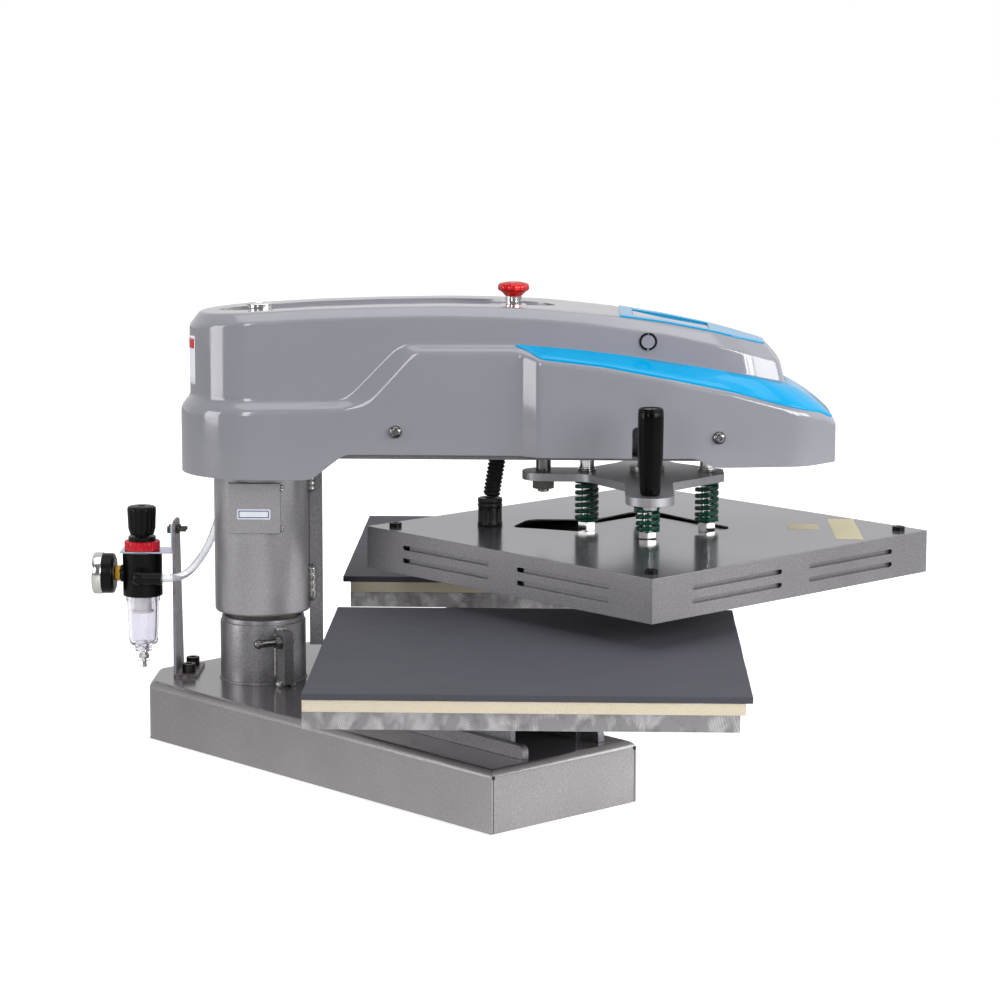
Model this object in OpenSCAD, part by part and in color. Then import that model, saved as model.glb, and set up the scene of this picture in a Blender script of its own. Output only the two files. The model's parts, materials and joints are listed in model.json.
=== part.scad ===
// Two-station pneumatic swing-away heat press, in millimetres.
// The floor is z = 0, the swing column stands on the Z axis, and at rest the
// arm points along +X, midway between the front (-Y) and rear (+Y) stations.

/* [Base] */
// Height of the folded base
base_h = 60; // [50:1:80]
// Distance from the column to the end of each base arm
base_reach = 460; // [440:5:500]
// Sheet thickness of the base
base_wall = 3; // [2:0.5:4]
// Half-width of the left end face
base_end_half = 31.5; // [28:0.5:40]

/* [Column] */
// Outer diameter of the fixed lower tube
tube_d = 89; // [86:1:90]
// Outer diameter of the turning sleeve
sleeve_d = 99; // [97:1:100]
// Outer diameter of the inner post
post_d = 70; // [60:1:76]
// Height of the bottom of the sleeve
sleeve_z = 132; // [130:1:134]

/* [Lower platens] */
// Side of a square lower platen
pad_side = 400; // [380:5:400]
// Centre of the front platen from the column, along X and along -Y
pad_offset = 285; // [285:1:290]
// Thickness of the aluminium plate
plate_t = 16; // [12:1:18]
// Thickness of the silicone foam
foam_t = 11; // [8:1:12]
// Thickness of the rubber pad
rubber_t = 6; // [4:1:7]

/* [Heat platen] */
// Side of the square heat platen cover
cover_side = 410; // [400:5:412]
// Distance from the column to the platen centre
platen_x = 399; // [398:1:400]
// Distance from the platen centre to each spring post
post_r = 62; // [60:1:64]

/* [Arm cover] */
// Wall thickness of the moulded cover
shell_t = 3; // [2.5:0.5:3.5]

/* [Hidden] */
$fn = 48;

// Running clearance of a shaft in its bore, and the gap between other moving faces
fit = 0.05;
gap = 0.3;

// Base
arm_outer = 104.7;
arm_inner = 80;
// How far the inner corner of a base arm's end stands ahead of its outer corner
end_skew = 6;
base_left = -(arm_outer * sqrt(2) - base_end_half);
// Column
tube_r = tube_d / 2;
sleeve_r = sleeve_d / 2;
post_rad = post_d / 2;
tube_top = sleeve_z - 4.4;
sleeve_top = 385;
bore_r = 44;
// Stops
stop_r = 56;
lug_angle = 60;
lug_t = 11;
lug_top = 118;
stop_z = 107;
bar_t = 10;
bar_depth = 13;
// Lower platens
support_top = 118;
foam_z = support_top + plate_t;
rubber_z = foam_z + foam_t;
// Heat platen
heat_side = 396;
heat_z = 174.5;
heat_t = 17.5;
cover_z = 176.5;
cover_top = 220;
cover_sheet = 1.5;
spring_plate_z = 214.5;
spring_plate_t = 3;
spider_z = 271.5;
spider_top = 280;
frame_z = 301.5;
frame_t = 4;
nut_h = 10;
stud_r = 6;
post_spots = [[post_r, 0], [0, post_r], [-post_r, 0], [0, -post_r]];
// Handle
handle_y = -162;
handle_top = 366;
// Guide rod
guide_x = 292;
guide_r = 7.75;
// Controls
knob_x = 260.5;
knob_r = 16;
neck_r = 8;
button_x = 397.5;
button_y = 67;
button_z = 421;
button_rad = 6.9;
// Cover screws: x, distance from the middle plane, height, and the turn of the wall they sit on
screw_spots = [[144, 82, 330, 0], [469, 88.9, 327, 8.4]];
// Regulator bracket: its plane, its two foot screws and the two screws of the clip
bracket_x = -93;
foot_x = -79;
foot_screws = [4, 38];
clip_screws = [4, 16];
clip_z = 214;
// Filter regulator
reg_x = -127;
reg_y = 10;
reg_r = 20.6;
gauge_z = 166.5;
hose_r = 4;

// Points of a polygon whose corners [x, y, radius, steps] are rounded: radius 0 keeps a corner,
// and a corner that is straight gives points spaced along the line instead
function unit(v) = v / norm(v);
function corner_arc(a, b, c, r, n) =
    let(u = unit(a - b), w = unit(c - b), half = acos(u * w) / 2)
    norm(u + w) < 0.001 ? [for (k = [0:n]) b + w * r * (2 * k / n - 1)]
    : let(start = b + u * r / tan(half), stop = b + w * r / tan(half),
        mid = b + unit(u + w) * r / sin(half),
        a0 = atan2(start.y - mid.y, start.x - mid.x),
        a1 = atan2(stop.y - mid.y, stop.x - mid.x),
        turn = (a1 - a0 + 540) % 360 - 180)
    [for (k = [0:n]) mid + r * [cos(a0 + turn * k / n), sin(a0 + turn * k / n)]];
function xy(p) = [p.x, p.y];
function rounded(v) = let(n = len(v)) [for (i = [0:n - 1])
    each v[i][2] == 0 ? [xy(v[i])]
        : corner_arc(xy(v[(i + n - 1) % n]), xy(v[i]), xy(v[(i + 1) % n]), v[i][2], v[i][3])];
// The half outline given from nose to tail, followed by its mirror image in the X axis
function both_sides(half) = concat(half,
    [for (i = [len(half) - 1:-1:0]) [half[i].x, -half[i].y, half[i][2], half[i][3]]]);

// Faces that join rings of n points each into one closed sweep with flat ends
function ring_faces(count, n) = [for (i = [0:count - 2], j = [0:n - 1])
    let(a = i * n + j, b = i * n + (j + 1) % n) each [[a, b, b + n], [a, b + n, a + n]]];
function end_faces(count, n) = [[for (j = [n - 1:-1:0]) j],
    [for (j = [0:n - 1]) (count - 1) * n + j]];

module tube_ring(r_out, r_in, z0, z1) {
    translate([0, 0, z0]) rotate_extrude()
        polygon([[r_in, 0], [r_out, 0], [r_out, z1 - z0], [r_in, z1 - z0]]);
}

module rod(r, z0, z1) {
    translate([0, 0, z0]) cylinder(r = r, h = z1 - z0);
}

module hex(across, z0, z1) {
    translate([0, 0, z0]) cylinder(r = across / sqrt(3), h = z1 - z0, $fn = 6);
}

// A rod along +X from x0 to x1
module rod_x(r, x0, x1) {
    translate([x0, 0, 0]) rotate([0, 90, 0]) cylinder(r = r, h = x1 - x0);
}

module box(x0, y0, z0, x1, y1, z1) {
    translate([x0, y0, z0]) cube([x1 - x0, y1 - y0, z1 - z0]);
}

// The same shape at the front station and mirrored at the rear one
module both_stations() {
    children();
    mirror([0, 1, 0]) children();
}

// ---------------------------------------------------------------- base

// Corners of the V-shaped plan, moved inward by t
function base_plan(t) = let(a = sqrt(0.5), o = arm_outer - t, i = arm_inner - t, e = base_reach - t,
        left = base_left + t, half = o * sqrt(2) + left)
    [[left, -half], [(e - o) * a, -(e + o) * a], [(e + end_skew + i) * a, -(e + end_skew - i) * a], [i * sqrt(2), 0],
     [(e + end_skew + i) * a, (e + end_skew - i) * a], [(e - o) * a, (e + o) * a], [left, half]];

module base_frame() color("#8b8a8c") {
    difference() {
        linear_extrude(base_h) polygon(base_plan(0));
        translate([0, 0, -1]) linear_extrude(base_h - base_wall + 1) polygon(base_plan(base_wall));
        rod(post_rad + fit, base_h - 10, base_h + 1);
        for (y = foot_screws) translate([foot_x, y, 0]) rod(4.2 + fit, base_h - 10, base_h + 1);
    }
}

module bottom_plate() color("#77777a") {
    difference() {
        linear_extrude(2) polygon(base_plan(base_wall + gap));
        for (s = [-1, 1], d = [180, 380])
            rotate([0, 0, s * 45]) translate([d, 0, -1]) cylinder(r = 20, h = 4);
    }
    tube_ring(post_rad + 7, post_rad + fit, 2, 14);
}

module post_base_tube() color("#8f8f92") {
    translate([0, 0, base_h]) rotate_extrude() polygon([[post_rad + fit, 0], [tube_r, 0],
        [tube_r, tube_top - base_h - 6.5], [tube_r - 1.5, tube_top - base_h - 5.5],
        [tube_r - 1.5, tube_top - base_h - 2], [tube_r - 3, tube_top - base_h],
        [post_rad + fit, tube_top - base_h]]);
}

module inner_post() color("#a7a7aa") {
    tube_ring(post_rad, post_rad - 8, 2, sleeve_top + 3);
}

module stop_lugs() color("#8f8f92") {
    both_stations() rotate([0, 0, -lug_angle]) difference() {
        box(tube_r - 1, -lug_t / 2, base_h + 3, tube_r + 20, lug_t / 2, lug_top);
        rod(tube_r, base_h, lug_top + 1);
        translate([stop_r, 0, stop_z]) rotate([90, 0, 0]) cylinder(r = 4 + fit, h = lug_t + 2, center = true);
    }
}

module stop_screws() color("#b9b4a8") {
    both_stations() rotate([0, 0, -lug_angle]) translate([stop_r, 0, stop_z]) rotate([90, 0, 0]) {
        translate([0, 0, -8.4]) cylinder(r = 4, h = 36);
        translate([0, 0, lug_t / 2]) cylinder(r = 6.5 / cos(30), h = 6, $fn = 6);
        translate([0, 0, 30]) sphere(r = 5);
    }
}

module platen_supports() color("#85858a") {
    both_stations() rotate([0, 0, -45]) {
        for (s = [-1, 1]) {
            translate([0, s * 50 - 4, base_h]) rotate([90, 0, 0]) mirror([0, 0, 1])
                linear_extrude(8) polygon(rounded([[290, 0, 0, 0], [448, 0, 0, 0],
                    [448, 13, 6, 6], [290, 13, 6, 6]]));
            box(300, s * 43 - 3, base_h, 424, s * 43 + 3, support_top - 5);
        }
        box(330, -40, base_h, 336, 40, support_top - 5);
        difference() {
            box(300, -46, support_top - 5, 424, 46, support_top);
            for (x = [320, 404], y = [-26, 26]) translate([x, y, 0]) rod(4.25, support_top - 6, support_top + 1);
        }
    }
}

// Sheet cut x1 and y0 smaller than its pad; rear_x moves the rear station's sheet along X
module platen_slab(x1, y0, z0, z1, rear_x = 0) {
    near = pad_offset - pad_side / 2;
    far = pad_offset + pad_side / 2;
    box(near, -far + y0, z0, far - x1, -near, z1);
    box(near + rear_x, near, z0, far - x1 + rear_x, far - y0, z1);
}

module lower_plates() color("#a9aaad") platen_slab(11, 3, support_top, foam_z);

module platen_foams() color("#e6dcc4") platen_slab(6, 1, foam_z, rubber_z);

// The rear pad is laid overhanging its foam towards the column
module rubber_pads() color("#5c5a64") platen_slab(0, 0, rubber_z, rubber_z + rubber_t, -8);

// ---------------------------------------------------- filter regulator

module regulator_bracket() color("#6b645c") {
    difference() {
        union() {
            translate([bracket_x, 0, 0]) rotate([90, 0, 90]) linear_extrude(3)
                polygon(rounded([[-12, base_h, 0, 0], [50, base_h, 0, 0], [30, 224, 8, 5], [-8, 224, 8, 5]]));
            box(bracket_x, -12, base_h, bracket_x + 25, 50, base_h + 3);
        }
        for (y = foot_screws) translate([foot_x, y, 0]) rod(4.2 + fit, base_h - 1, base_h + 4);
        for (y = clip_screws) translate([0, y, clip_z]) rod_x(2.1, bracket_x - 1, bracket_x + 4);
    }
}

module bracket_screws() color("#4d4a47") {
    for (y = foot_screws) translate([foot_x, y, 0]) {
        rod(4.2, base_h - 8, base_h + 3);
        difference() {
            rod(7, base_h + 3, base_h + 12);
            hex(6.5, base_h + 7, base_h + 13);
        }
    }
    for (y = clip_screws) translate([bracket_x, y, clip_z]) {
        rod_x(2, -5, 13);
        rod_x(3.8, -6.5, -2);
        translate([3, 0, 0]) rotate([0, 90, 0]) cylinder(r = 4, h = 3, $fn = 6);
    }
}

// Bent strip that holds the regulator by its neck
module regulator_clip() color("#c9ccd2") {
    difference() {
        box(reg_x - reg_r - 1, reg_y - 16, 190.2, bracket_x, reg_y + 16, 191.8);
        translate([reg_x, reg_y, 0]) rod(14.6, 180, 200);
    }
    difference() {
        box(bracket_x - 2, reg_y - 16, 190.2, bracket_x, reg_y + 16, 220);
        for (y = clip_screws) translate([bracket_x, y, clip_z]) rod_x(2.1, -3, 1);
    }
}

module regulator_body() color("#1c1c1e") translate([reg_x, reg_y, 0]) {
    difference() {
        union() {
            rod(reg_r, 144, 190.2);
            rod(14.3, 190.2, 206);
            translate([0, 0, gauge_z]) rod_x(9, -22.5, -14);
            translate([0, 0, gauge_z]) rotate([90, 0, 0]) cylinder(r = 9, h = 24);
            translate([0, 0, gauge_z]) rotate([-90, 0, 0]) cylinder(r = 11, h = 26);
        }
        rod(8 + fit, 160, 207);
        rod(15.6, 143, 150);
        translate([0, 0, gauge_z]) rotate([-90, 0, 0]) translate([0, 0, 14]) cylinder(r = 6, h = 13);
    }
}

module lock_ring() color("#c2182b") translate([reg_x, reg_y, 0]) {
    tube_ring(18.5, 14.3 + fit, 192, 201.5);
}

// Clear bowl, open at the top, closed by its domed floor
module filter_bowl() color("#d8dde3", 0.45) translate([reg_x, reg_y, 0]) {
    rotate_extrude() polygon([[5, 90], [11, 90], [15, 94], [17.5, 142], [17.5, 143.7],
        [15.4, 143.7], [15.4, 149.5], [13.4, 149.5], [13.4, 142], [12, 97], [9, 93.5], [5, 93.5]]);
    tube_ring(9, 4.2, 84, 90);
}

module filter_element() color("#f2f0ea") translate([reg_x, reg_y, 0]) {
    tube_ring(9, 4, 128, 146);
    rod(11.5, 126, 128);
}

module gauge_case() color("#26272a") translate([reg_x, reg_y, gauge_z]) {
    rotate([0, -90, 0]) rotate_extrude() polygon([[0, 28.5], [18, 28.5], [20.6, 29.5], [21, 30.5],
        [21, 41], [21.8, 41], [21.8, 49.6], [20.6, 51], [19.2, 51], [19.2, 39], [0, 39]]);
}

module gauge_dial() color("#f0efe9") translate([reg_x, reg_y, gauge_z]) {
    difference() {
        rod_x(19, -40.5, -39);
        rod_x(1.05, -41.5, -38.5);
    }
}

module gauge_lens() color("#dfe6ea", 0.3) translate([reg_x, reg_y, gauge_z]) {
    rod_x(19.1, -50, -48.5);
}

module gauge_fitting() color("#b98a34") translate([reg_x, reg_y, gauge_z]) {
    rotate([0, -90, 0]) translate([0, 0, 22.5]) cylinder(r = 7.2, h = 6, $fn = 6);
}

module gauge_needle() color("#b01822") translate([reg_x, reg_y, gauge_z]) {
    rod_x(1, -43.5, -39);
    box(-43, -1, -5, -42.1, 1, 15);
}

// Push-in elbow on the outlet, turned towards the column
module elbow_fitting() color("#1f2022") {
    translate([reg_x, reg_y - 24, gauge_z]) {
        rotate([90, 0, 0]) cylinder(r = 6.5, h = 5);
        difference() {
            union() {
                translate([0, -5, 0]) sphere(r = 7.5);
                translate([0, -5, 0]) rod_x(6.8, 0, 24);
            }
            translate([0, -5, 0]) rod_x(hose_r + fit, 12, 25);
            box(-10, 0, -10, 10, 10, 10);
        }
    }
}

// Centre line of the hose, from the elbow up beside the sleeve to the swivel
hose_path = [[-115, -19, 166.5], [-103, -19, 166.5], [-92, -18.5, 167], [-82, -15, 169],
    [-74, -8, 174], [-67, 3, 182], [-60, 17, 193], [-54, 29, 208], [-49, 37, 226], [-48, 39, 245],
    [-50, 36.5, 262], [-53, 32.5, 280], [-54, 31, 305], [-54, 31, 335], [-53.5, 31, 358],
    [-51, 29.5, 375], [-45, 26, 390], [-36, 21, 400], [-25, 14.5, 405], [-14, 8, 406]];
hose_sides = 12;

module air_hose() color("#e3e6ea", 0.8) {
    n = len(hose_path);
    rings = [for (i = [0:n - 1])
        let(dir = unit(hose_path[min(i + 1, n - 1)] - hose_path[max(i - 1, 0)]),
            side = unit(cross(dir, [0.45, 0.89, 0.1])), up = cross(side, dir))
        for (k = [0:hose_sides - 1]) hose_path[i]
            + hose_r * (cos(360 * k / hose_sides) * side + sin(360 * k / hose_sides) * up)];
    polyhedron(rings, concat(ring_faces(n, hose_sides), end_faces(n, hose_sides)), convexity = 6);
}

// Rotary air joint on top of the inner post
module hose_swivel() color("#9b9da1") {
    rod(post_rad - 8 - fit, sleeve_top - 12, sleeve_top + 3);
    rod(16, sleeve_top + 3, sleeve_top + 9);
    rod(11, sleeve_top + 9, sleeve_top + 32);
    rotate([0, 0, atan2(8, -14)]) translate([0, 0, 406]) rod_x(7, 6, 16);
}

module regulator_stem() color("#2b2b2e") translate([reg_x, reg_y, 0]) {
    rod(8, 170, 204);
    rod(5, 204, 232);
}

// Knob that lifts on the stem to unlock and is pushed down to lock
module regulator_knob() color("#17171a") translate([reg_x, reg_y, 0]) {
    difference() {
        union() {
            rod(14, 208, 238);
            for (a = [0:30:330]) rotate([0, 0, a]) translate([13.4, 0, 0]) rod(1.4, 212, 236);
        }
        rod(5 + fit, 207, 234.5);
    }
}

module drain_valve() color("#b7b5ae") translate([reg_x, reg_y, 0]) {
    rod(4.1, 76, 95);
    rod(3, 66, 76);
    translate([0, 0, 74]) rod_x(1, -7, 7);
}

// ---------------------------------------------------------- swing arm

module column_sleeve() color("#8d8d91") {
    translate([0, 0, sleeve_z]) rotate_extrude() polygon([[bore_r, 0], [sleeve_r - 3, 0],
        [sleeve_r - 0.9, 0.9], [sleeve_r, 3], [sleeve_r, sleeve_top - sleeve_z],
        [bore_r, sleeve_top - sleeve_z]]);
}

// Two bronze bushes and the thrust washer that the sleeve turns on
module column_bearings() color("#b08a4a") {
    tube_ring(bore_r - 0.02, post_rad + fit, sleeve_z, sleeve_z + 50);
    tube_ring(bore_r - 0.02, post_rad + fit, sleeve_top - 50, sleeve_top);
    tube_ring(41, post_rad + fit, tube_top + gap, sleeve_z);
}

module stop_bar() color("#85868a") {
    difference() {
        box(sleeve_r - 1, -bar_t / 2, 95, sleeve_r + bar_depth, bar_t / 2, frame_z);
        rod(sleeve_r, 90, frame_z + 1);
    }
}

// Square plate welded on the front of the sleeve
module sleeve_patch() color("#98989b") {
    difference() {
        box(-29, -sleeve_r - 2.5, 220, 24, -sleeve_r + 8, 272);
        rod(sleeve_r, 210, 280);
    }
}

// The four cover screws, with +Z out of the wall and z = 0 on its face
module on_screws() {
    both_stations() for (s = screw_spots) translate([s.x, -s.y, s.z]) rotate([90, 0, s[3]]) children();
}

module arm_frame() color("#6f7074") {
    difference() {
        union() {
            translate([0, 0, frame_z]) linear_extrude(frame_t)
                polygon([[30, -76], [470, -76], [540, -50], [540, 50], [470, 76], [30, 76]]);
            both_stations() translate([0, 49.5, 0]) rotate([90, 0, 0]) linear_extrude(5)
                polygon([[0, 302], [500, 302], [500, 330], [430, 372], [0, 378]]);
            translate([guide_x, 0, 0]) rod(14, frame_z, 350);
            both_stations() for (s = screw_spots) {
                box(s.x - 9, s.y - 10, frame_z, s.x + 9, s.y - 6, s.z + 9);
                box(s.x - 9, 70, frame_z, s.x + 9, s.y - 6, frame_z + frame_t);
            }
        }
        on_screws() rod(3 + fit, -12, 0);
        rod(sleeve_r, 290, 400);
        translate([guide_x, 0, 0]) rod(guide_r + fit, 290, 360);
        translate([platen_x, 0, 0]) {
            rod(12, 290, 310);
            for (p = post_spots) translate([p.x, p.y, 0]) rod(10.5, 290, 312);
        }
        box(233, -3, 290, 266, 27, 310);
    }
}

// Corners of the cover outlines [x, y, radius, steps], from nose to column, moved inward by w.
// The three outlines have matching corners: foot of the cover, foot of the upper body, top edge.
function lower_half(w) = [[590 - w, -38 + w, 14, 4], [556 - w, -76 + w, 45, 4], [515, -82 + w, 0, 0],
    [464, -89.5 + w, 0, 0], [446, -92.2 + w, 0, 0], [420, -96 + w, 100, 3], [370, -96 + w, 0, 0],
    [320, -96 + w, 0, 0], [288, -96 + w, 12, 4], [270, -82 + w, 12, 4], [200, -82 + w, 0, 0],
    [168, -82 + w, 0, 0], [158, -82 + w, 0, 0], [122, -82 + w, 0, 0], [110, -82 + w, 0, 0],
    [92, -82 + w, 0, 0], [58, -82 + w, 0, 0], [-82 + w, -82 + w, 81.9 - w, 12]];
function upper_half(w) = [[538 - w, -36 + w, 12, 4], [505 - w, -56 + w, 45, 4], [475, -59 + w, 0, 0],
    [445, -61.7 + w, 0, 0], [425, -63.5 + w, 0, 0], [400, -66 + w, 100, 3], [370, -68.2 + w, 0, 0],
    [340, -70.3 + w, 0, 0], [310, -72.5 + w, 60, 4], [272, -72.5 + w, 8, 4], [190, -72.5 + w, 0, 0],
    [155, -72.5 + w, 0, 0], [145, -72.5 + w, 0, 0], [102, -72.5 + w, 0, 0], [94, -72.5 + w, 0, 0],
    [84, -72.5 + w, 0, 0], [50, -72.5 + w, 0, 0], [-72.5 + w, -72.5 + w, 72.4 - w, 12]];
function top_half(w) = [[518 - w, -26 + w, 10, 4], [488 - w, -40 + w, 45, 4], [460, -43.5 + w, 0, 0],
    [430, -46.8 + w, 0, 0], [412, -48.8 + w, 0, 0], [394, -51 + w, 60, 3], [370, -55.5 + w, 0, 0],
    [345, -60 + w, 0, 0], [318, -63 + w, 60, 4], [272, -63 + w, 8, 4], [190, -63 + w, 0, 0],
    [155, -63 + w, 0, 0], [145, -63 + w, 0, 0], [102, -63 + w, 0, 0], [94, -63 + w, 0, 0],
    [84, -63 + w, 0, 0], [50, -63 + w, 0, 0], [-62 + w, -62 + w, 61.9 - w, 12]];

// Heights along the arm: foot, crease below and above the ledge, chamfer and top edge
foot_line = [[-82, 280], [58, 280], [92, 306.5], [446, 306.5], [464, 296.5], [590, 296.5]];
crease_line = [[-82, 347], [33, 351], [92, 353], [110, 357], [122, 365], [158, 406], [168, 411.5],
    [264, 412], [290, 404.5], [353, 397.5], [427, 383.5], [484, 371], [532, 357], [577, 346],
    [590, 338]];
ledge_line = [[-73, 358], [84, 359], [94, 362], [102, 368], [145, 412], [155, 417], [264, 417.5],
    [280, 416], [323, 412.5], [369, 407], [415, 400], [465, 392], [502, 385], [538, 376]];
chamfer_line = [[-73, 430], [-8, 438], [54, 441.5], [128, 444.5], [190, 445.5], [241, 444.5],
    [290, 442.5], [331, 439], [362, 435], [416, 428], [462, 418], [486, 412.5], [538, 398]];
top_line = [[-62, 444], [0, 447.5], [55, 451], [120, 453.5], [190, 455], [240, 454.5], [290, 452.5],
    [331, 449], [362, 446], [416, 438], [462, 429], [486, 423], [518, 415]];

// Plan at the chamfer, which leans back towards the top edge over the nose
function chamfer_half(w) = let(low = upper_half(w), top = top_half(w)) [for (i = [0:len(low) - 1])
    let(f = 0.27 * min(1, max(0, (low[i].x - 465) / 65)), p = low[i])
    [p.x + (top[i].x - p.x) * f, p.y + (top[i].y - p.y) * f, p[2], p[3]]];

function at_heights(plan, line, drop) = [for (p = plan) [p.x, p.y, lookup(p.x, line) - drop]];
function cover_rings(w) = [at_heights(rounded(both_sides(lower_half(w))), foot_line, 0),
    at_heights(rounded(both_sides(lower_half(w))), crease_line, w),
    at_heights(rounded(both_sides(upper_half(w))), ledge_line, w),
    at_heights(rounded(both_sides(chamfer_half(w))), chamfer_line, w),
    at_heights(rounded(both_sides(top_half(w))), top_line, w)];
ring_n = len(cover_rings(0)[0]);
// Points of one side that belong to the trim: from the nose back to the swell of the cover
trim_n = len([for (p = rounded(both_sides(upper_half(0)))) if (p.x > 262 && p.y < 0) p]);

// Roof strips between a ring's front half and its mirrored rear half, starting at point s
function roof(s, n) = [for (i = [0:n / 2 - 2]) [s + i, s + i + 1, s + n - 2 - i, s + n - 1 - i]];
function flip(faces) = [for (f = faces) [for (i = [len(f) - 1:-1:0]) f[i]]];

module cover_shell() {
    rings = concat(cover_rings(0), [for (i = [4:-1:0]) cover_rings(shell_t)[i]]);
    outer = ring_faces(5, ring_n);
    inner = [for (f = ring_faces(5, ring_n)) [for (i = f) i + 5 * ring_n]];
    foot = [for (j = [0:ring_n - 1])
        [9 * ring_n + j, 9 * ring_n + (j + 1) % ring_n, (j + 1) % ring_n, j]];
    polyhedron([for (r = rings) each r], concat(flip(outer), flip(inner), flip(foot),
        flip(roof(4 * ring_n, ring_n)), roof(5 * ring_n, ring_n)), convexity = 10);
}

// Notch in the cover's lower edge behind the handle, seen from the front
notch_outline = [[382, 290, 0, 0], [411, 290, 0, 0], [411, 338, 5, 4], [382, 338, 5, 4]];
// Frame of the tilted screen, with its origin at the middle of the glass
screen = [79, 60];
module on_screen() {
    translate([421, 0, 435.4]) rotate([0, 10.5, 0]) children();
}

module arm_cover() color("#8e8f94") {
    difference() {
        cover_shell();
        on_screen() cube([screen.x + 1, screen.y + 1, 30], center = true);
        on_screws() rod(3.3, -6, 6);
        translate([knob_x, 0, 0]) rod(14, 440, 470);
        rod(14, 430, 470);
        both_stations() {
            translate([button_x, -button_y + 10, button_z]) rotate([90, 0, 0]) cylinder(r = 9, h = 30);
            translate([0, -80, 0]) rotate([90, 0, 0]) linear_extrude(30) polygon(rounded(notch_outline));
        }
    }
}

// Lower edge of the trim, a little above the crease
function trim_start(rings, i) = rings[1][i] * 0.92 + rings[2][i] * 0.08;

// Coloured strip that lies on the ledge and wraps round the nose
module side_trim() color("#1bade6") {
    half = [for (i = [0:trim_n - 1]) trim_n - 1 - i];
    order = concat(half, [for (i = [0:trim_n - 1]) ring_n - 1 - i]);
    inner = cover_rings(-gap);
    outer = cover_rings(-1.6);
    n = len(order);
    points = [for (k = [0:n - 1]) let(i = order[k])
        each [trim_start(inner, i), trim_start(outer, i), outer[2][i], inner[2][i]]];
    polyhedron(points, concat(ring_faces(n, 4), end_faces(n, 4)), convexity = 8);
}

// Blue plate over the front of the roof, with the window for the screen
panel_back = 369;
panel_t = 1.5;
module control_panel() color("#3fb4ea") {
    spine = concat([[panel_back, lookup(panel_back, top_line)]], [for (p = top_line) if (p.x > panel_back) p]);
    lower = [for (p = spine) p + [0, 0.1]];
    upper = [for (i = [len(spine) - 1:-1:0]) spine[i] + [0, panel_t]];
    edge = [for (p = rounded(both_sides(top_half(0.6)))) if (p.x > panel_back) p];
    near = [for (p = edge) if (p.y < 0) p];
    back = lookup(panel_back, [[345, 59.4], [370, 54.9], [394, 50.4]]);
    difference() {
        intersection() {
            rotate([90, 0, 0]) linear_extrude(140, center = true) polygon(concat(lower, upper));
            translate([0, 0, 400]) linear_extrude(60) polygon(concat(near, [[panel_back, -back]],
                [[panel_back, back]], [for (i = [len(near) - 1:-1:0]) [near[i].x, -near[i].y]]));
        }
        on_screen() cube([screen.x + 1, screen.y + 1, 30], center = true);
    }
}

module display_window() color("#b6b9c4") {
    on_screen() cube([screen.x, screen.y, 2], center = true);
}

module cover_screws() color("#b4b1ab") {
    on_screws() rotate_extrude()
        polygon([[0, -11], [3, -11], [3, 0.3], [6.5, 0.3], [6, 3], [4, 4.6], [0, 5]]);
}

// Plain ring nut in the roof over the column
module column_cap() color("#c8c6c0") {
    tube_ring(12.5, 5.5, 440, 450);
    tube_ring(13.6, 5.5, 450, 451.5);
}

// Collars of the stop knob and of the two start buttons
module button_collars() color("#c4c3be") {
    translate([knob_x, 0, 0]) tube_ring(13.6, neck_r + fit, 438, 452);
    both_stations() translate([button_x, -button_y, button_z]) rotate([90, 0, 0])
        tube_ring(8.7, button_rad + gap, -9, 0.8);
}

module stop_knob() color("#c41d22") translate([knob_x, 0, 0]) {
    rod(neck_r, 440, 462);
    rotate_extrude() polygon([[0, 461], [9, 461], [12, 464], [knob_r, 467], [knob_r, 471.5],
        [13.5, 474], [0, 475]]);
}

module start_button(s) {
    translate([button_x, s * (button_y + 1.2), button_z]) rotate([s * 90, 0, 0])
        cylinder(r = button_rad, h = 10);
}

module start_button_front() color("#8e8f94") start_button(-1);

module start_button_rear() color("#8e8f94") start_button(1);

// Hollow barrel with the rod bore in its floor
module air_cylinder() color("#9a9ca0") translate([platen_x, 0, 0]) {
    rotate_extrude() polygon([[10 + fit, frame_z + frame_t], [42, frame_z + frame_t], [42, 396],
        [0, 396], [0, 384], [36 + fit, 384], [36 + fit, 317], [10 + fit, 317]]);
}

module solenoid_valve() color("#3b3d42") {
    box(300, 22, 318, 344, 44.5, 346);
    box(304, 26, 346, 326, 42, 366);
}

module controller_box() color("#3f4f45") {
    box(100, -40, frame_z + frame_t, 222, 40, frame_z + frame_t + 62);
}

// ------------------------------------------------------- press spider

// Lobed plate: left lobe for the guide rod, long front lobe for the handle
spider_outline = [[guide_x, -23, 0, 0], [335, -23, 22, 6], [375, -84, 10, 5], [375, handle_y, 0, 0],
    [375, handle_y - 24, 23.9, 8], [423, handle_y - 24, 23.9, 8], [423, -80, 10, 5],
    [478, -16, 2, 2], [478, 16, 2, 2], [430, 60, 12, 5], [418, 82, 4, 3], [380, 82, 4, 3],
    [368, 58, 14, 5], [338, 22, 22, 6], [guide_x - 22, 22, 21.9, 8], [guide_x - 22, -23, 21.9, 8]];

module spider_plate() color("#b9babd") {
    difference() {
        translate([0, 0, spider_z]) linear_extrude(spider_top - spider_z) polygon(rounded(spider_outline));
        translate([platen_x, 0, 0]) for (p = post_spots) translate([p.x, p.y, 0])
            rod(stud_r + fit, spider_z - 1, spider_top + 1);
        translate([guide_x, 0, 0]) rod(6 + fit, spider_z - 1, spider_top + 1);
        translate([platen_x, handle_y, 0]) rod(4 + fit, spider_z - 1, spider_top + 1);
    }
}

module piston_rod() color("#cfd0d2") translate([platen_x, 0, 0]) {
    rod(18, spider_top, spider_top + 6);
    rod(10, spider_top + 6, 372);
    rod(36, 368, 382);
}

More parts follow.
